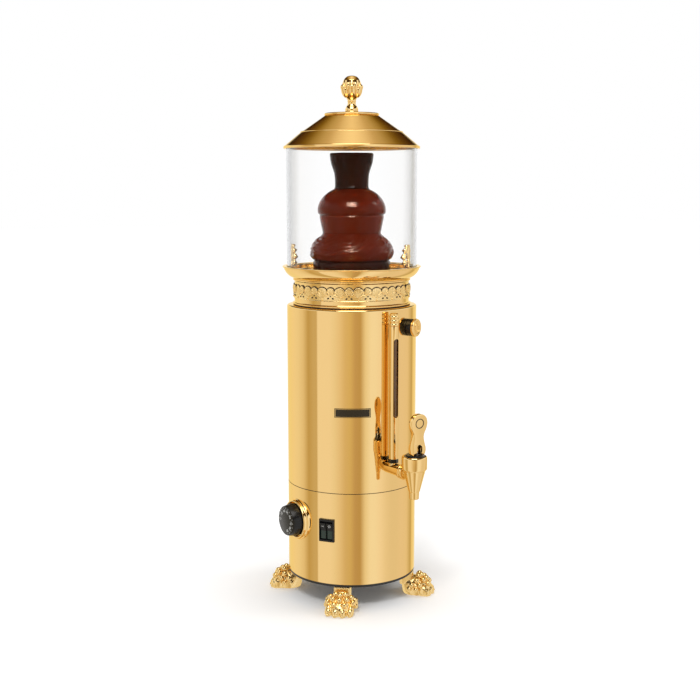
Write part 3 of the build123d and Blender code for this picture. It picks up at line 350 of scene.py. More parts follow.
lumps = [ball((37, 43, 36), (0, -15, 7.5)), ball((33, 38, 26), (0, -20, 8)), ball((30, 28, 33), (0, -7, 11.5))]
for across, reach, splay in ((-15.4, 30.0, -20), (-5.3, 34.0, -6), (5.3, 34.0, 6), (15.4, 30.0, 20)):
    lumps.append(ball((11.2, 18, 17), (across * 0.96, -(reach - 4.5), 7.2), (16, 0, splay)))
    lumps.append(ball((11.0, 13, 13), (across, -(reach + 0.8), 5.6), (-8, 0, splay)))
    lumps.append(ball((4.6, 6.5, 4.2), (across * 1.03, -(reach + 5.6), 2.4), (-20, 0, splay), 10))
# the curls lie in four rows over the dome
curl_rows = ((27.4, 8.5, 8.2, (-56, 0, 56)), (22.6, 15.4, 8.6, (-80, -40, 0, 40, 80)),
             (16.8, 19.8, 8.4, (-102, -68, -22, 22, 68, 102)), (10.5, 21.5, 7.4, (-112, -84, 84, 112)))
for rise, out, size, turns in curl_rows:
    for turn in turns:
        place = (out * sin(radians(turn)), -14 - out * 1.04 * cos(radians(turn)), rise)
        lumps.append(ball((size, size, size), place, rings=12))
ankle = block((23.5, 19.5, 21.5), (0, 0, 24.6))
edit_all()
bpy.ops.mesh.bevel(offset=0.003, segments=3)
bpy.ops.object.mode_set(mode="OBJECT")
paw = join("paw_model", lumps + [ankle])
melt(paw, 0.7, 2)
alone(paw)
bpy.ops.object.mode_set(mode="EDIT")
for level, up in ((0.0, False), (0.0354, True)):
    bpy.ops.mesh.select_all(action="SELECT")
    bpy.ops.mesh.bisect(plane_co=(0, 0, level), plane_no=(0, 0, 1), use_fill=True,
                        clear_outer=up, clear_inner=not up)
bpy.ops.object.mode_set(mode="OBJECT")
smooth(paw, 50)
for side, bearing in foot_bearings.items():
    alone(paw)
    bpy.ops.object.duplicate()
    copy = bpy.context.object
    copy.name = "paw_" + side
    copy.location = (foot_rho / 1000 * sin(radians(bearing)), -foot_rho / 1000 * cos(radians(bearing)), 0)
    copy.rotation_euler = (0, 0, radians(bearing))
    bake()
    fit(copy, cast_gold, "machine", "gold_plate", "foot_" + side)
bpy.data.objects.remove(paw)

# bright zinc on small steel screws
zinc = finish("zinc_plated_steel", [(2.0, 0, 3.0, all_ways)], ("#B4B8BC", "#CDD0D2"), (0.25, 0.35), Metallic=1.0)
dress(zinc, "foot_screws")

# ---- lower casing ----
# A rolled brass sleeve, polished and gold plated, that stands on the plate's rim and
# carries the thermostat, the switch and, at the back, the cord gland.

# polished gold plate: a mirror with only the faintest wipe marks
gold_plate = finish("polished_gold_plate", [(22.0, 0, 4.0, (1, 1, 0.35))], ("#F2D091", "#F4D496"), (0.04, 0.075),
                    Metallic=1.0, Specular_Tint=gilt_edge)


def turned(name, profile, sides=192, edge=0.3, segments=2):
    """A piece turned on a lathe: a ring is drawn along (radius, height) points in mm,
    and its sharp edges are broken. A profile that ends where it starts makes a wall."""
    bpy.ops.object.select_all(action="DESELECT")
    points = [(max(r, 0.001), z) for r, z in profile]
    (r, z), rest = points[0], points[1:]
    bpy.ops.mesh.primitive_circle_add(vertices=sides, radius=r / 1000, location=(0, 0, z / 1000))
    piece = bpy.context.object
    piece.name = name
    bake()
    edit_all()
    for next_r, next_z in rest:
        bpy.ops.mesh.extrude_edges_move(TRANSFORM_OT_translate={"value": (0, 0, (next_z - z) / 1000)})
        if next_r != r:
            bpy.ops.transform.resize(value=(next_r / r, next_r / r, 1), center_override=(0, 0, next_z / 1000))
        r, z = next_r, next_z
    bpy.ops.mesh.select_all(action="SELECT")
    bpy.ops.mesh.remove_doubles(threshold=0.00001)
    bpy.ops.mesh.normals_make_consistent(inside=False)
    bpy.ops.object.mode_set(mode="OBJECT")
    bpy.ops.object.shade_smooth()
    if edge:
        broken = piece.modifiers.new("edge", "BEVEL")
        broken.width, broken.segments = edge / 1000, segments
        broken.limit_method, broken.angle_limit = "ANGLE", radians(32)
        broken.use_clamp_overlap = False
        broken.harden_normals = True
        bpy.ops.object.modifier_apply(modifier="edge")
    return piece


def set_in(piece, bearing=0.0, height=0.0, rho=None):
    """Lays a piece turned on the column axis so that it points out at a bearing, at a height;
    with rho it stays upright and moves out to that distance instead."""
    alone(piece)
    if rho is None:
        piece.rotation_euler = (radians(90), 0, radians(bearing))
        piece.location = (0, 0, height / 1000)
    else:
        piece.rotation_euler = (0, 0, radians(bearing))
        piece.location = (rho / 1000 * sin(radians(bearing)), -rho / 1000 * cos(radians(bearing)), height / 1000)
    bake()
    return piece


switch_bearing, switch_z = -55.4, 118.5
lower = turned("lower_casing", [(93.8, 39), (95, 39), (95, 39.8), (95, 172.2), (95, 173), (93.8, 173),
    (93.8, 39)], sides=256, edge=0.25)


def cut_with(piece, cutter):
    """Takes a cutter's shape out of a piece."""
    alone(piece)
    cut = piece.modifiers.new("cut", "BOOLEAN")
    cut.operation, cut.object, cut.solver = "DIFFERENCE", cutter, "EXACT"
    bpy.ops.object.modifier_apply(modifier="cut")
    bpy.data.objects.remove(cutter)


window = block((20.4, 20, 30.4), (95 * sin(radians(switch_bearing)), -95 * cos(radians(switch_bearing)), switch_z),
               (0, 0, switch_bearing))
cut_with(lower, window)
smooth(lower, 30)
fit(lower, gold_plate, "machine", "gold_plate", "base_shell")

# ---- thermostat ----
# A moulded knob with a printed dial turns in a polished ring that saddles the casing.
# The ring's notch is the index mark; the control itself hangs behind the casing.
bezel = turned("thermostat_ring", [(25.2, 89.5), (25.2, 99.6), (25.7, 100.5), (26.5, 100.95), (27.3, 100.8),
    (27.9, 100.1), (28.1, 99), (28.2, 96.6), (28.6, 96), (29.4, 95.6), (29.9, 94.8), (29.9, 89.5),
    (25.2, 89.5)], sides=128)
thermostat_bearing, thermostat_z = -90, 125
set_in(bezel, thermostat_bearing, thermostat_z)
fit(bezel, gold_plate, "machine", "gold_plate", "thermostat_bezel")

# moulded nylon: black with a fine spark-eroded grain and a soft gloss
black_nylon = finish("black_moulded_nylon", [(0.5, 0.012, 3.0, all_ways)], ("#08080A", "#0E0E10"), (0.2, 0.3),
                     Specular_IOR_Level=0.35)

# pad-printed ink for the dial and the switch marks
white_ink = finish("white_printing_ink", [(1.2, 0, 3.0, all_ways)], ("#B9B9B6", "#DADAD6"), 0.6)

knob = turned("thermostat_knob_body", [(0, 98), (22.6, 98), (23.8, 98.8), (23.9, 101), (21.9, 113.2),
    (21.2, 114.4), (20.2, 114.9), (0, 114.9)], sides=96, edge=0.2)
grip = []
for i in range(36):
    rib = ball((1.5, 1.5, 13.5), (0, 0, 0), rings=6)
    rib.rotation_euler = (0, radians(-9.3), radians(10 * i))
    rib.location = (0.0226 * cos(radians(10 * i)), 0.0226 * sin(radians(10 * i)), 0.1055)
    grip.append(rib)
    alone(rib)
    bake()
    bpy.ops.object.shade_smooth()
knob = join("knob", [knob] + grip)
set_in(knob, thermostat_bearing, thermostat_z)
fit(knob, black_nylon, "thermostat", "black_plastic", "thermostat_knob")


def mark(words, size, across, up, face, tilt=0.0):
    """Printed characters, laid flat on the plane z = face, in mm."""
    bpy.ops.object.select_all(action="DESELECT")
    bpy.ops.object.text_add(location=(0, 0, 0))
    text = bpy.context.object
    text.data.body = words
    text.data.align_x, text.data.align_y = "CENTER", "CENTER"
    text.data.size = size / 1000
    text.data.extrude = 0.00004
    bpy.ops.object.convert(target="MESH")
    text.rotation_euler = (0, 0, radians(tilt))
    text.location = (across / 1000, up / 1000, face / 1000)
    bake()
    return text


numbers = ("0", "30", "40", "50", "60", "70", "80", "90")
dial = [mark(words, 5.6, 14.2 * sin(radians(a)), 14.2 * cos(radians(a)), 114.95, -a)
        for words, a in zip(numbers, range(-90, 163, 36))]
for a in range(-90, 163, 18):
    dial.append(block((0.5, 2.2, 0.08), (18.8 * sin(radians(a)), 18.8 * cos(radians(a)), 114.94), (0, 0, -a)))
dial = join("knob_dial", dial)
set_in(dial, thermostat_bearing, thermostat_z)
fit(dial, white_ink, "thermostat", "black_plastic")
dress(black_nylon, "thermostat_body")

# ---- switch ----
# A snap-in housing with two rockers side by side. The lower half of each rocker is a
# dark green lens, and the marks above are moulded and filled with white.
dress(black_nylon, "switch_housing")

# tinted polycarbonate lens, unlit
green_lens = finish("dark_green_polycarbonate", [(4.0, 0, 3.0, all_ways)], ("#0C1F19", "#123025"), 0.15)


def break_edges(piece, width_mm, segments, degrees):
    """Rounds off the edges of a piece that are sharper than that."""
    alone(piece)
    edge = piece.modifiers.new("edge", "BEVEL")
    edge.width, edge.segments = width_mm / 1000, segments
    edge.limit_method, edge.angle_limit = "ANGLE", radians(degrees)
    bpy.ops.object.modifier_apply(modifier="edge")


for side, symbol in ((-1, "I"), (1, "O")):
    label = "left" if side < 0 else "right"
    across = side * 5.0
    rocker = block((8.5, 12, 6.4), (0, -6, 1.4))
    bpy.ops.object.mode_set(mode="EDIT")
    bpy.ops.mesh.select_all(action="DESELECT")
    bpy.ops.mesh.select_mode(type="FACE")
    bpy.ops.object.mode_set(mode="OBJECT")
    for face in rocker.data.polygons:
        face.select = face.normal.y > 0.9
    bpy.ops.object.mode_set(mode="EDIT")
    bpy.ops.mesh.extrude_region_move(TRANSFORM_OT_translate={"value": (0, 0.012, 0)})
    bpy.ops.object.mode_set(mode="OBJECT")
    for vertex in rocker.data.vertices:
        vertex.select = vertex.co.z > 0.003 and abs(vertex.co.y) < 0.001
    for edge in rocker.data.edges:
        edge.select = all(rocker.data.vertices[v].select for v in edge.vertices)
    for face in rocker.data.polygons:
        face.select = False
    bpy.ops.object.mode_set(mode="EDIT")
    bpy.ops.mesh.select_mode(type="VERT")
    bpy.ops.transform.translate(value=(0, 0, -0.0017))
    bpy.ops.object.mode_set(mode="OBJECT")
    break_edges(rocker, 0.5, 3, 30)
    smooth(rocker, 30)
    rocker.name = "rocker_" + label + "_key"
    sign = mark(symbol, 5.4, 0, 7.2, 4.0, 90 if symbol == "I" else 0)
    for vertex in sign.data.vertices:
        vertex.co.z += (vertex.co.y - 0.0072) * 0.142
    sign.name = "rocker_" + label + "_mark"
    for piece in (rocker, sign):
        alone(piece)
        # laid on the front and tipped so that its lower half is pressed in
        piece.rotation_euler = (radians(90 + 8), 0, 0)
        piece.location = (across / 1000, -0.0935, 0)
        bake()
        piece.rotation_euler = (0, 0, radians(switch_bearing))
        piece.location = (0, 0, switch_z / 1000)
        bake()
    fit(rocker, black_nylon, "rocker_" + label, "rocker", "rocker_" + label)
    rocker.data.materials.append(green_lens)
    for face in rocker.data.polygons:
        face.material_index = 1 if face.center.z < 0.1178 else 0
    fit(sign, white_ink, "rocker_" + label, "rocker")

# ---- cord gland ----
# A nylon gland with a hexagon and a ribbed dome nut, screwed into the back of the
# lower casing; the mains cord would leave through it.
gland = turned("gland_dome", [(3.7, 95.4), (6.4, 95.4), (6.4, 96), (7.9, 100.6), (8.0, 105), (7.4, 107.4),
    (5.6, 108.2), (3.7, 108.2), (3.7, 95.4)], sides=64)
hexagon = turned("gland_hexagon", [(3.7, 95.4), (9.9, 95.6), (9.9, 100.5), (3.7, 100.6), (3.7, 95.4)], sides=6,
    edge=0.4)
smooth(hexagon, 25)
gland = join("gland", [gland, hexagon])
set_in(gland, 180, 62)
fit(gland, black_nylon, "machine", "black_plastic", "cable_gland")

# ---- drive ----
# A grey geared motor hangs from a steel mount under the tank and turns the stirrer and
# the auger through a rubber seal.

# sprayed grey enamel on the motor
motor_enamel = finish("grey_motor_enamel", [(1.5, 0.03, 3.0, all_ways)], ("#4A4E52", "#565B60"), 0.45)
dress(motor_enamel, "gearmotor")

# drawn stainless steel, brushed along the height
stainless = finish("brushed_stainless_steel", [(0.6, 0, 2.0, (1, 1, 0.04))], ("#B2B3B2", "#CBCCCB"), (0.22, 0.34),
                   Metallic=1.0)
dress(stainless, "motor_mount", "stirrer_shaft")

# food-grade silicone and nitrile rubber
rubber = finish("black_nitrile_rubber", [(1.0, 0, 3.0, all_ways)], ("#161616", "#242424"), (0.55, 0.75))
dress(rubber, "shaft_seal")

# ---- upper casing ----
# The tall polished sleeve round the water jacket, with a rolled shoulder at the top.
# It stands on the black fin of the bulkhead, and the tap and the filler pass through it.
upper = turned("upper_casing_sleeve", [(93.8, 173.8), (95, 173.8), (95, 174.6), (95, 432.6), (95, 433.5),
    (94.81, 434.46), (94.27, 435.27), (93.46, 435.81), (92.5, 436), (83, 436), (83, 434.8), (92, 434.8),
    (93.8, 433), (93.8, 173.8)], sides=256, edge=0.25)
fit(upper, gold_plate, "machine", "gold_plate", "upper_casing")

# ---- label plate ----
# A thin anodised plate, rolled to the casing and glued on. It is left bare, with a
# raised gilt border.
label_bearing = -32.7


def bent_strip(name, rho, height, half_angle, thickness, width, steps, bearing=label_bearing):
    """A strip that follows the casing: a flat end section spun about the column axis."""
    bpy.ops.object.select_all(action="DESELECT")
    bpy.ops.mesh.primitive_plane_add(size=1.0)
    strip = bpy.context.object
    strip.name = name
    strip.scale, strip.rotation_euler = (thickness / 1000, width / 1000, 1), (radians(90), 0, 0)
    bake()
    start = radians(-90 + bearing + half_angle)
    strip.location = ((rho + thickness / 2) / 1000, 0, height / 1000)
    bake()
    strip.rotation_euler = (0, 0, start)
    bake()
    edit_all()
    bpy.ops.mesh.spin(steps=steps, angle=radians(2 * half_angle), center=(0, 0, 0), axis=(0, 0, 1))
    bpy.ops.mesh.select_all(action="SELECT")
    bpy.ops.mesh.normals_make_consistent(inside=False)
    bpy.ops.object.mode_set(mode="OBJECT")
    bpy.ops.object.shade_smooth_by_angle(angle=radians(30))
    return strip


# anodised aluminium dyed a warm black
black_anodised = finish("warm_black_anodised_aluminium", [(1.0, 0, 2.0, (1, 1, 4))], ("#231C10", "#302716"), 0.42,
                        Metallic=0.3)
plate = bent_strip("label_plate_sheet", 95.06, 290.6, 15.55, 0.62, 13.1, 24)
fit(plate, black_anodised, "machine", "black_plate", "label_plate")
border = [
    bent_strip("label_border", 95.6, 296.2, 14.9, 0.22, 0.45, 24),
    bent_strip("border_low", 95.6, 285.0, 14.9, 0.22, 0.45, 24),
]
for end in (-1, 1):
    border.append(bent_strip("border_end", 95.6, 290.6, 0.15, 0.22, 11.6, 2, label_bearing + end * 14.75))
border = join("label_border", border)
fit(border, gold_plate, "machine", "gold_plate")

# ---- neck ----
# A short turned collar between two beads. It stands on a black seal on the casing's
# shoulder and carries the cast band.
collar = turned("neck_collar_ring", [(82.6, 437.2), (85.7, 437.2), (86.3, 437.7), (86.4, 438.4), (86.3, 439.2),
    (85.7, 439.8), (84.6, 440.2), (84, 441), (84, 470.2), (84.5, 471), (85.5, 471.5), (86, 472.2), (86, 473.3),
    (85.4, 473.9), (82.6, 474), (82.6, 437.2)], sides=256, edge=0.2)
fit(collar, gold_plate, "machine", "gold_plate", "neck_collar")
dress(rubber, "collar_seal")

# ---- ornament band ----
# A cast strip bent round the neck and soldered: broad and narrow fans by turns make its
# upper edge, and a small trefoil of dark spots stands under each narrow one. Dark discs
# just behind the fans are painted shadow in the cusps.
fan_pairs = 20
band = turned("ornament_strip", [(84.05, 446.4), (85.3, 446.4), (85.5, 446.9), (85.3, 447.4), (85.0, 447.8),
    (85.0, 459), (84.05, 459), (84.05, 446.4)], sides=240, edge=0.15)


def on_neck(part, turn, rho=85.0):
    """Moves a flat ornament, made at the front around x = 0 with its height in z, to its turn."""
    part.rotation_euler = (0, 0, turn)
    part.location = (rho / 1000 * sin(turn), -rho / 1000 * cos(turn), 0)
    return part


def fan(name, centre, size, rays, length):
    """A shell-shaped fan: a flat disc with rays that spread from its foot."""
    parts = [ball((2 * size, 1.5, 2 * size), (0, 0, centre), rings=16)]
    foot = centre - size * 0.72
    for ray_angle in rays:
        petal = ball((size * 0.27, 1.1, length), (0, 0, 0), rings=6)
        swing = radians(ray_angle)
        petal.rotation_euler = (0, swing, 0)
        petal.location = (sin(swing) * length / 1900, -0.0005, foot / 1000 + cos(swing) * length / 1900)
        parts.append(petal)
    model = join(name, parts)
    alone(model)
    bake()
    bpy.ops.object.shade_smooth()
    return model


# a dark fill for the trefoil spots and the lever's ring mark, and painted shadow as dark discs behind the fans
dark_fill_and_shadow = finish("dark_fill_and_painted_shadow", [(0.8, 0, 3.0, all_ways)], ("#2A1A08", "#3D2A10"), 0.6)

models = {
    "broad": fan("broad_fan", 457.9, 8.1, (-66, -44, -22, 0, 22, 44, 66), 11.5),
    "narrow": fan("narrow_fan", 460.2, 5.6, (-56, -28, 0, 28, 56), 8.0),
    "bead": ball((2.6, 2.2, 2.6), (0, -0.2, 448.9), rings=8),
}
# dark discs set just behind the fans: painted shadow in the cusps of the upper edge
shadows = {"broad": ball((17.6, 0.9, 17.6), (0, 0.1, 458.6), rings=12),
           "narrow": ball((12.6, 0.9, 12.6), (0, 0, 460.9), rings=12)}
fans, dark = [], []
for i in range(fan_pairs):
    for kind, shift, rho in (("broad", 0.5, 84.7), ("narrow", 0.0, 85.3), ("bead", 0.5, 85.0)):
        for source, pile in ((models, fans), (shadows, dark)):
            if kind in source:
                alone(source[kind])
                bpy.ops.object.duplicate()
                place = rho - (source is shadows) * 0.35
                pile.append(on_neck(bpy.context.object, 2 * pi * (i + shift) / fan_pairs, place))
    for across, up, lean in ((-3.5, 450.9, 60), (3.5, 450.9, -60), (0, 454.6, 0)):
        pierced = ball((2.3, 0.9, 3.3), (across, 0, up), (0, lean, 0), rings=8)
        dark.append(on_neck(pierced, 2 * pi * i / fan_pairs, 85.15))
for model in list(models.values()) + list(shadows.values()):
    bpy.data.objects.remove(model)
band = join("ornament_palmettes", [band] + fans)
fit(band, cast_gold, "machine", "gold_plate", "ornament_band")
dark = join("ornament_dark_spots_and_painted_shadows", dark)
fit(dark, dark_fill_and_shadow, "machine", "gold_plate")
for part in (band, dark):
    alone(part)
    bake()

# ---- tank ----
# Stainless tank in its water jacket, heated from below; only its mouth shows once the
# fountain is lifted out. The auger and its pipe are moulded in food-grade plastic.

# white acetal, slightly translucent
acetal = finish("white_acetal", [(6.0, 0, 3.0, all_ways)], ("#DAD5C8", "#E8E4DA"), 0.35)
dress(acetal, "auger")
dress(stainless, "chocolate_tank", "water_jacket", "heater_element")
dress(rubber, "tank_gasket")

# ---- fountain tray ----
# A cast and turned bowl that closes the neck and seats the glass; its polished lip
# overhangs like a saucer's.
tray = turned("fountain_bowl", [(85.8, 474), (82.3, 474), (82.3, 468), (80.9, 468), (80.9, 482.5), (50, 482.5),
    (50, 484), (88, 484), (89, 485), (89, 490.2), (90.4, 490.2), (90.4, 489), (95.2, 489), (95.2, 491.6),
    (95.6, 492), (100.7, 492), (101.1, 491.6), (101.1, 490.5), (100.6, 490.1), (99.6, 489.9), (98.89, 487.52),
    (97.8, 485.15), (96.43, 482.92), (94.81, 480.88), (92.96, 479.04), (90.91, 477.43), (88.68, 476.08),
    (86.2, 475.2), (85.8, 474.8), (85.8, 474)], sides=256, edge=0.2)
fit(tray, gold_plate, "machine", "gold_plate", "fountain_tray")
dress(gold_plate, "clip_screws")

# ---- leaf clips ----
# Three cast acanthus leaves screwed to the tray's wall; they steady the glass from inside.
leaf = []
for across, up, wide, tall, lean in ((0, 12, 5, 24, 0), (0, 33, 7, 15, 0), (0, 24, 9, 20, 0),
                                     (6.3, 31, 7.5, 9, 25), (9.0, 22.6, 8.6, 8.6, 40), (6.6, 14.2, 8, 8, 60),
                                     (3.4, 37, 4.6, 6.5, 18)):
    for side in ((-1, 1) if across else (1,)):
        # the side lobes curl in towards the fountain
        leaf.append(ball((wide, 3 + across * 0.45, tall), (side * across, across * 0.42, up),
                         (0, side * lean, 0), rings=10))
for across, inward, up in ((9.6, 6.4, 22.0), (7, 5.4, 13.6), (6.8, 5.2, 31.6), (3.4, 3.4, 38),
                           (9.8, 3.6, 26), (8.8, 2.8, 17.6)):
    for side in (-1, 1):
        leaf.append(ball((3.6, 3.8, 3.6), (side * across, inward, up), rings=8))
for up in range(4, 38, 4):
    leaf.append(ball((1.8, 3.2, 5), (0, 0.2, up), rings=6))
sole = block((11.5, 5.2, 5.2), (0, 2.8, 2.9))
leaf = join("leaf_model", leaf + [sole])
melt(leaf, 0.42, 2)
clips = []
for bearing in (-115.0, 33.0, 139.0):
    alone(leaf)
    bpy.ops.object.duplicate()
    clip = bpy.context.object
    clip.location = (0, -0.08735, 0.48405)
    bake()
    clip.rotation_euler = (0, 0, radians(bearing))
    bake()
    clips.append(clip)
clips = join("acanthus_clips", clips)
bpy.data.objects.remove(leaf)
fit(clips, cast_gold, "machine", "gold_plate", "leaf_clips")

# ---- fountain ----
# Four moulded tiers stacked on the pipe, all of them coated with running chocolate:
# smooth on the crown and the middle, wrinkled where it piles up on the lowest one.

# melted dark chocolate: a thick warm-brown film with a wet shine
chocolate = finish("melted_dark_chocolate", [(14.0, 0, 3.0, (1, 1, 0.5)), (9.0, 0.14, 2.0, (1, 1, 0.6))],
                   ("#561303", "#611806"), 0.1, Specular_IOR_Level=0.18, Specular_Tint=linear("#FFD6BE"))

# the same chocolate, darker and with less shine, for the crown and the plinth; its darker colour is painted shade, like
# that under the lid
shaded_chocolate = finish("dark_chocolate_with_painted_shade", [(14.0, 0, 3.0, (1, 1, 0.5)), (7.0, 0.9, 2.5, (1, 1, 0.35))],
                       ("#2A0C06", "#331108"), 0.12, Specular_IOR_Level=0.07)


def flowing(piece, depth_mm, size_mm):
    """Lets the surface swell and sink a little, as a running film does."""
    cloud = bpy.data.textures.new("film_" + piece.name, "CLOUDS")
    cloud.noise_scale = size_mm / 1000
    wave = piece.modifiers.new("film", "DISPLACE")
    wave.texture, wave.strength, wave.mid_level = cloud, depth_mm / 1000, 0.5
    wave.texture_coords = "LOCAL"
    alone(piece)
    bpy.ops.object.modifier_apply(modifier="film")


def wrinkled(piece, depth_mm, long_mm, wide_mm, low, high):
    """Draws the film into long folds that lie aslant between two heights."""
    for vertex in piece.data.vertices:
        spot = vertex.co
        turn = atan2(spot.x, -spot.y) - view_bearing
        fade = min(1.0, max(0.0, (spot.z * 1000 - low) / 5)) * min(1.0, max(0.0, (high - spot.z * 1000) / 6))
        climb = spot.z * 1000 - 22 * sin(turn - 0.3) + 7 * noise.noise(spot * 30)
        crest = noise.noise(Vector((spot.x * 1000 / long_mm, spot.y * 1000 / long_mm, climb / wide_mm)))
        fold = (0.5 - abs(crest) * 2.2) * depth_mm / 1000 * fade
        if hypot(spot.x, spot.y) > 0.03:
            vertex.co = spot + vertex.normal * fold


def even(profile, step):
    """The same profile with points no further apart than step, so that a film can ripple."""
    points = [profile[0]]
    for (r0, z0), (r1, z1) in zip(profile, profile[1:]):
        count = max(1, int(sqrt((r1 - r0) ** 2 + (z1 - z0) ** 2) / step))
        points += [(r0 + (r1 - r0) * i / count, z0 + (z1 - z0) * i / count) for i in range(1, count + 1)]
    return points


plinth = turned("fountain_plinth", [(14.1, 484.1), (55.6, 484.1), (56.2, 484.8), (56.2, 497.4), (55.8, 498.6),
    (54.6, 499.2), (54.6, 500.9), (14.1, 500.9), (14.1, 484.1)], sides=128, edge=0)
fit(plinth, shaded_chocolate, "fountain", "chocolate", "fountain_base")
skirt = turned("fountain_skirt", [(14.1, 501)] + even([(55.6, 501), (57.6, 502.2), (59.4, 504.6), (60.6, 508),
    (61.0, 511.6), (60.6, 515.2), (59.7, 518.8), (58.2, 522), (56.2, 525), (53.8, 527.8), (51.2, 530.2),
    (48.6, 532.4), (46.2, 534.4), (44.2, 536.6), (42.6, 539)], 1.1) + [(14.1, 539), (14.1, 501)], sides=288,
    edge=0)
wrinkled(skirt, 1.8, 24, 3.1, 503, 538)
fit(skirt, chocolate, "fountain", "chocolate", "fountain_lower_tier")
middle = turned("fountain_middle", [(14.1, 539)] + even([(42.2, 539), (43.4, 545), (45.0, 553), (46.2, 559),
    (46.8, 563), (46.6, 564.4), (45.9, 565.2), (46.9, 566), (48.8, 567.6), (49.6, 570.6), (49.5, 574.4),
    (48.8, 578.6), (47.4, 582.6), (45.4, 586.4), (42.9, 590), (40.1, 593.2), (36.9, 596), (33.5, 598.4),
    (29.6, 600.6), (25.4, 602.6), (24.9, 603)], 1.4) + [(14.1, 603), (14.1, 539)], sides=192, edge=0)
flowing(middle, 0.4, 22)
fit(middle, chocolate, "fountain", "chocolate", "fountain_middle_tier")
crown = turned("fountain_cup", [(14.1, 603)] + even([(25.6, 603), (24.6, 604.8), (24.4, 607), (24.5, 617),
    (25.1, 624), (27.2, 631), (29.4, 637.4), (30.8, 643), (31.4, 648), (31.7, 651.4), (31.2, 653.2),
    (30, 653.9), (28.6, 653.4)], 1.4) + [(26.6, 648), (25.5, 641), (14.1, 640.2), (14.1, 603)], sides=160,
    edge=0)
flowing(crown, 0.5, 14)
fit(crown, shaded_chocolate, "fountain", "chocolate", "fountain_crown")
dress(shaded_chocolate, "riser_tube")

# ---- glass ----
# A clear borosilicate cylinder with flame-polished ends that stands in the tray's seat.
clear_glass = finish("clear_borosilicate_glass", [(30.0, 0, 3.0, all_ways)], None, (0.0, 0.012),
                     Transmission_Weight=1.0, IOR=1.47, Specular_Tint=linear("#5A5A5A"))
tree = clear_glass.node_tree
# the faint grey of the wall gathers where one looks along it, at the cylinder's edges
grey = put(tree, "ShaderNodeVolumeAbsorption", {"Color": linear("#D9DBDD"), "Density": 33.0})
feed(tree.nodes["Material Output"], {"Volume": grey.outputs[0]})
facing = put(tree, "ShaderNodeLayerWeight", {"Blend": 0.5}).outputs["Facing"]
edge_on = put(tree, "ShaderNodeMapRange", {"Value": facing, "From Min": 0.4, "From Max": 0.74})
wall = put(tree, "ShaderNodeMix", {0: edge_on.outputs[0], 6: linear("#FDFDFD"), 7: linear("#CCCED1")},
           data_type="RGBA")
feed(tree.nodes["Principled BSDF"], {"Base Color": wall.outputs[2]})
glass = turned("glass_sleeve", [(91.2, 490.6), (94.5, 490.6), (94.5, 661.4), (91.2, 661.4), (91.2, 490.6)],
    sides=256, edge=0.6, segments=3)
fit(glass, clear_glass, "glass", "clear_glass", "glass_cylinder")
glass.visible_shadow = False
dress(rubber, "glass_gasket")
for wet in (glass, skirt, middle, crown):
    wet_pieces.objects.link(wet)

# ---- lid ----
# Spun brass in two cones with a step between them, gold plated over the fine rings that
# spinning leaves, and a rolled lip that drops over the glass.

# spun and plated brass: softer than the casing, its rings drawn 0.8 mm apart to show
spun_gold = finish("spun_gold_plate", [(0.8, 0, 2.0, (0.02, 0.02, 1))], ("#F0CC8B", "#F4D496"), (0.11, 0.16),
                   Metallic=1.0, Specular_Tint=gilt_edge)
lid = turned("lid_spinning", [(98.2, 660), (98.5, 660.4), (98.5, 663.1), (98.1, 663.7), (97.6, 663.9),
    (97.0, 664.0), (96.4, 664.5), (74.9, 682.17), (74.5, 682.5), (74.2, 683), (74.2, 683.8), (73.8, 684.2),
    (71.9, 684.2), (71.2, 684.5), (70.6, 684.9), (39.1, 706.56), (38.6, 706.9), (38, 707.1), (3.2, 707.1),
    (3.2, 705.9), (37.4, 705.9), (70.7, 683), (73, 683), (73, 681.7), (90.5, 666.3), (90.5, 661.5),
    (94.9, 661.5), (94.9, 660), (98.2, 660)], sides=256, edge=0)
smooth(lid, 30)
fit(lid, spun_gold, "lid", "gold_plate", "lid")
cap = turned("lid_button", [(3.2, 707.1), (38.7, 707.1), (39.4, 707.6), (39.4, 709.2), (39, 709.8),
    (38.2, 710.2), (37, 710.3), (3.2, 710.3), (3.2, 707.1)], sides=192, edge=0.2)
fit(cap, gold_plate, "lid", "gold_plate", "lid_top_plate")

# ---- finial ----
# A cast and polished knob: a beaded foot, a waist, a calyx of curling petals and a
# domed bud, on a stud that a nut holds under the lid.
stalk = turned("finial_stalk", [(0, 699), (2.9, 699), (2.9, 710.3), (9.6, 710.3), (10.2, 711.1), (10.1, 712.2),
    (9.2, 713.2), (9.4, 714.7), (9.2, 716.4), (8.2, 718.7), (6.8, 720.8), (5.9, 723.1), (5.7, 725.6),
    (6.2, 726.8), (6.2, 727.5), (5.8, 728.3), (6.8, 730.4), (9.2, 733.5), (11.6, 737.1), (12.6, 741),
    (12.8, 745.8), (13, 750.5), (12.7, 753.4), (11.7, 756.5), (9.8, 759.4), (7, 761.7), (3.6, 762.8), (0, 763)],
    sides=96, edge=0)
parts = [stalk]
for i in range(6):
    for size, out, up, lean, shift in (((11.4, 8.6, 17), 11.6, 740.4, 20, 0), ((9.6, 7.4, 8.4), 14.0, 746.3, 24, 0),
                                       ((6.2, 5.0, 14), 11.6, 748.4, -6, 30), ((5.0, 3.4, 12), 11.4, 754, -28, 0)):
        turn = radians(60 * i + shift) + view_bearing
        petal = ball(size, (0, 0, 0), rings=12)
        petal.rotation_euler = (radians(lean), 0, turn)
        petal.location = (out / 1000 * sin(turn), -out / 1000 * cos(turn), up / 1000)
        parts.append(petal)
finial = join("finial_knob", parts)
alone(finial)
bake()
melt(finial, 0.45, 2)
fit(finial, gold_plate, "lid", "gold_plate", "finial")
dress(stainless, "finial_nut")

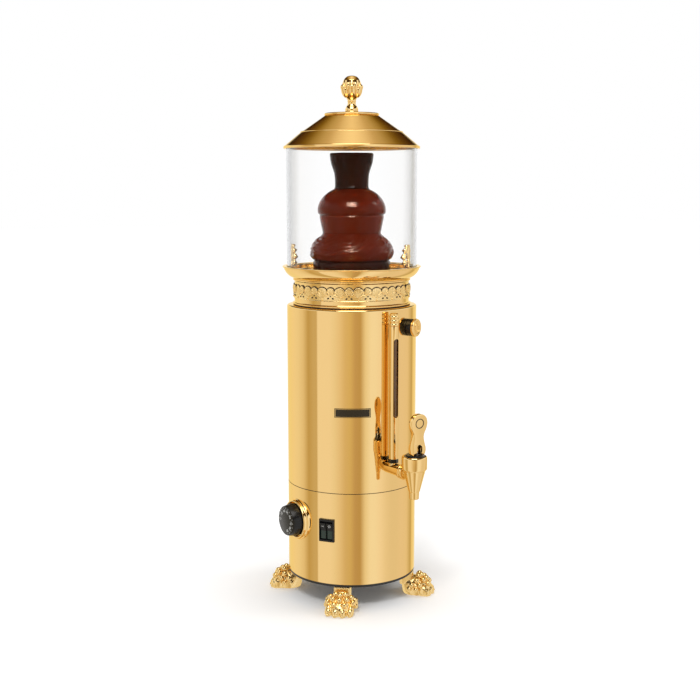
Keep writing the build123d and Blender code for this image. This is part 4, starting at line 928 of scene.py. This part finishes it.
# ---- tap ----
# A turned self-closing tap: the shank comes through the jacket, a union nut holds the
# conical body, and a paddle lever lifts the spring-loaded stem.
tap_rho, gauge_rho, shank_z = 157, 107, 210
shank = turned("tap_shank_pipe", [(5, 64), (8.3, 64), (8.3, 137), (5, 137), (5, 64)], sides=96)
set_in(shank, 0, shank_z)
boss = turned("shank_boss", [(2.4, 212), (7.2, 212), (7.2, 218.4), (6.8, 218.8), (2.4, 218.8), (2.4, 212)],
    sides=64)
set_in(boss, 0, 0, rho=gauge_rho)
shank = join("tap_shank_pipe", [shank, boss])
fit(shank, gold_plate, "machine", "gold_plate", "tap_shank")
nut = turned("union_ring", [(8.35, 126.6), (9.4, 126.6), (10.3, 127.2), (10.5, 128.2), (10.5, 130.6),
    (9.9, 131.2), (9.9, 132.4), (10.5, 133), (10.5, 136.6), (10.1, 137.8), (9.2, 138.2), (8.35, 138.2),
    (8.35, 126.6)], sides=96, edge=0.2)
set_in(nut, 0, shank_z)
fit(nut, gold_plate, "machine", "gold_plate", "union_nut")

cone = turned("tap_cone", [(5, 177), (6.2, 177), (6.7, 177.6), (7.1, 187.2), (8.1, 188.6), (15.5, 217.4),
    (16.3, 218.5), (17.3, 219.5), (17.7, 220.8), (17.7, 235.8), (17.4, 237), (16.6, 238), (14.5, 238),
    (14.5, 226), (10, 226), (10, 200), (5, 200), (5, 177)], sides=128, edge=0.25)
set_in(cone, 0, 0, rho=tap_rho)
stub = turned("tap_stub", [(5, 137.1), (8.3, 137.1), (8.3, 146), (5, 146), (5, 137.1)], sides=96)
set_in(stub, 0, shank_z)
cone = join("tap_cone", [cone, stub])
fit(cone, gold_plate, "machine", "gold_plate", "tap_body")

bonnet = turned("tap_bonnet_cap", [(2.7, 232.5), (7.5, 232.5), (7.5, 226.1), (14.3, 226.1), (14.3, 238),
    (12.6, 238.2), (12.2, 238.7), (12.2, 239.9), (11.6, 240.4), (2.7, 240.5), (2.7, 232.5)], sides=96, edge=0.2)
set_in(bonnet, 0, 0, rho=tap_rho)
fit(bonnet, black_nylon, "machine", "black_plastic", "tap_bonnet")
dress(black_nylon, "tap_stem")
dress(stainless, "tap_spring", "shank_nut", "lever_pin")
dress(rubber, "seat_cup")

# the paddle is drawn upwards row by row: (height, width, distance out of its back, thickness)
rows = [(240.9, 19.6, 158.9, 8.2), (244, 20.2, 157.4, 11.2), (248, 20.2, 156.2, 13.6), (252, 19.8, 156.4, 13.2),
    (256, 18.8, 157.4, 11.2), (260, 17.4, 158.6, 9.6), (263, 16.2, 159.2, 8.8), (266, 15.5, 159.6, 8.4),
    (269, 16.2, 160.0, 8.0), (272, 18.2, 160.3, 7.8), (275, 21.2, 160.6, 7.6), (278, 23.9, 160.9, 7.4),
    (281, 25.7, 161.1, 7.3), (284, 26.8, 161.4, 7.2), (287, 26.8, 161.6, 7.1), (289.6, 25.6, 161.8, 7.0),
    (292, 23.6, 162.0, 7.0), (294.2, 20.6, 162.2, 6.9), (296, 17.0, 162.3, 6.8), (297.4, 12.8, 162.4, 6.6),
    (298.4, 7.6, 162.6, 6.2), (298.9, 2.4, 162.8, 5.8)]
bpy.ops.object.select_all(action="DESELECT")
bpy.ops.mesh.primitive_plane_add(size=1.0)
lever = bpy.context.object
rise, wide, back, thick = rows[0]
lever.scale, lever.location = (wide / 1000, thick / 1000, 1), (0, -(back + thick / 2) / 1000, rise / 1000)
bake()
edit_all()
for new_rise, new_wide, new_back, new_thick in rows[1:]:
    bpy.ops.mesh.extrude_region_move(TRANSFORM_OT_translate={
        "value": (0, -(new_back + new_thick / 2 - back - thick / 2) / 1000, (new_rise - rise) / 1000)})
    bpy.ops.transform.resize(value=(new_wide / wide, new_thick / thick, 1),
                             center_override=(0, -(new_back + new_thick / 2) / 1000, new_rise / 1000))
    rise, wide, back, thick = new_rise, new_wide, new_back, new_thick
bpy.ops.mesh.select_all(action="SELECT")
bpy.ops.mesh.normals_make_consistent(inside=False)
bpy.ops.object.mode_set(mode="OBJECT")


def stadium(width, length, depth, place, sides=32):
    """A long rounded cutter that points to the front, upright, centred at a place in mm."""
    bpy.ops.object.select_all(action="DESELECT")
    bpy.ops.mesh.primitive_cylinder_add(vertices=sides, radius=width / 2000, depth=depth / 1000,
                                        rotation=(radians(90), 0, 0), location=[p / 1000 for p in place])
    cutter = bpy.context.object
    bake()
    for way in (1, -1):
        for vertex in cutter.data.vertices:
            vertex.select = way * (vertex.co.z - place[2] / 1000) > 1e-5
        for edge in cutter.data.edges:
            edge.select = all(cutter.data.vertices[v].select for v in edge.vertices)
        for face in cutter.data.polygons:
            face.select = all(cutter.data.vertices[v].select for v in face.vertices)
        bpy.ops.object.mode_set(mode="EDIT")
        bpy.ops.transform.translate(value=(0, 0, way * (length - width) / 2000))
        bpy.ops.object.mode_set(mode="OBJECT")
    return cutter


cut_with(lever, stadium(8.4, 24, 40, (0, -160, 243.6)))
break_edges(lever, 0.9, 3, 40)
smooth(lever, 35)
fit(lever, gold_plate, "lever", "gold_plate", "tap_lever")
bpy.ops.object.select_all(action="DESELECT")
bpy.ops.mesh.primitive_torus_add(major_segments=64, minor_segments=12, major_radius=0.0064, minor_radius=0.0006,
                                 rotation=(radians(90 + 2.9), 0, 0), location=(0, -0.16868, 0.2855))
medallion = bpy.context.object
bake()
bpy.ops.object.shade_smooth()
medallion.name = "lever_ring_mark"
fit(medallion, dark_fill_and_shadow, "lever", "gold_plate")

# ---- level gauge ----
# A polished sleeve with a long rounded window round the sight glass, on a black packing
# nut above the shank, closed by a ringed cap.
sleeve = turned("gauge_sleeve", [(4.7, 224.3), (6.7, 224.3), (6.7, 413.6), (4.7, 413.6), (4.7, 224.3)],
    sides=96, edge=0)
set_in(sleeve, 0, 0, rho=gauge_rho)
cut_with(sleeve, stadium(8.6, 112, 8, (0, -112, 339.9)))
break_edges(sleeve, 0.2, 2, 40)
smooth(sleeve, 30)
fit(sleeve, gold_plate, "machine", "gold_plate", "gauge_tube")

# sight glass with the chocolate behind it: amber-brown and glossy
sight = finish("chocolate_behind_sight_glass", [(12.0, 0, 3.0, all_ways)], ("#40200A", "#5F3C0C"), 0.12,
               Coat_Weight=0.5)
tube = turned("gauge_sight_tube", [(3.3, 224.4), (4.5, 224.4), (4.5, 404.4), (3.3, 404.4), (3.3, 224.4)],
    sides=48, edge=0)
smooth(tube, 30)
set_in(tube, 0, 0, rho=gauge_rho)
fit(tube, sight, "machine", "gauge_glass", "gauge_glass")
nut = turned("gauge_packing_nut", [(4.7, 216), (6.6, 216), (7.4, 216.8), (7.4, 223.6), (6.7, 224.3),
    (4.7, 224.3), (4.7, 216)], sides=6, edge=0.3)
smooth(nut, 25)
set_in(nut, 0, 0, rho=gauge_rho)
fit(nut, black_nylon, "machine", "black_plastic", "gauge_foot_nut")

ringed = [(0, 405.6), (4.5, 405.6), (4.5, 413.6)]
for i in range(3):
    z = 413.6 + 5.5 * i
    ringed += [(6.2, z), (6.8, z + 0.5), (6.9, z + 1.5), (6.8, z + 2.6), (6.2, z + 3.4), (6.0, z + 4.2), (6.1, z + 5.2)]
ringed += [(6.0, 430.6), (4.9, 431.6), (3.4, 431.9), (0, 431.9)]
topper = turned("gauge_ringed_cap", ringed, sides=64, edge=0)
smooth(topper, 40)
set_in(topper, 0, 0, rho=gauge_rho)
fit(topper, gold_plate, "gauge_cap", "gold_plate", "gauge_cap")

# ---- water filler ----
# A pipe into the jacket with a thick black washer and a gilt screw cap, whose dished
# face carries a plain ring.
filler_bearing, filler_z = 24.6, 407.2
washer = turned("filler_washer_ring", [(7.6, 96.65), (11.4, 96.65), (12.3, 97.5), (12.3, 104), (11.4, 104.75),
    (7.6, 104.75), (7.6, 96.65)], sides=96, edge=0.2)
set_in(washer, filler_bearing, filler_z)
fit(washer, black_nylon, "machine", "black_plastic", "filler_washer")
dress(black_nylon, "filler_neck")
cap = turned("filler_screw_cap", [(0, 97.6), (5.4, 97.6), (5.4, 104.85), (11.8, 104.85), (12.7, 105.6),
    (12.9, 106.4), (12.9, 108.2), (12.6, 109.2), (11.8, 109.75), (9.6, 109.8), (9.0, 109.4), (8.8, 109.0),
    (0, 109.0)], sides=96, edge=0.15)
bpy.ops.object.select_all(action="DESELECT")
bpy.ops.mesh.primitive_torus_add(major_segments=64, minor_segments=12, major_radius=0.0058, minor_radius=0.0006,
                                 location=(0, 0, 0.1091))
ring = bpy.context.object
ring.scale = (0.8, 1.15, 1)
bake()
bpy.ops.object.shade_smooth()
cap = join("filler_screw_cap", [cap, ring])
set_in(cap, filler_bearing, filler_z)
fit(cap, gold_plate, "filler_cap", "gold_plate", "filler_cap")
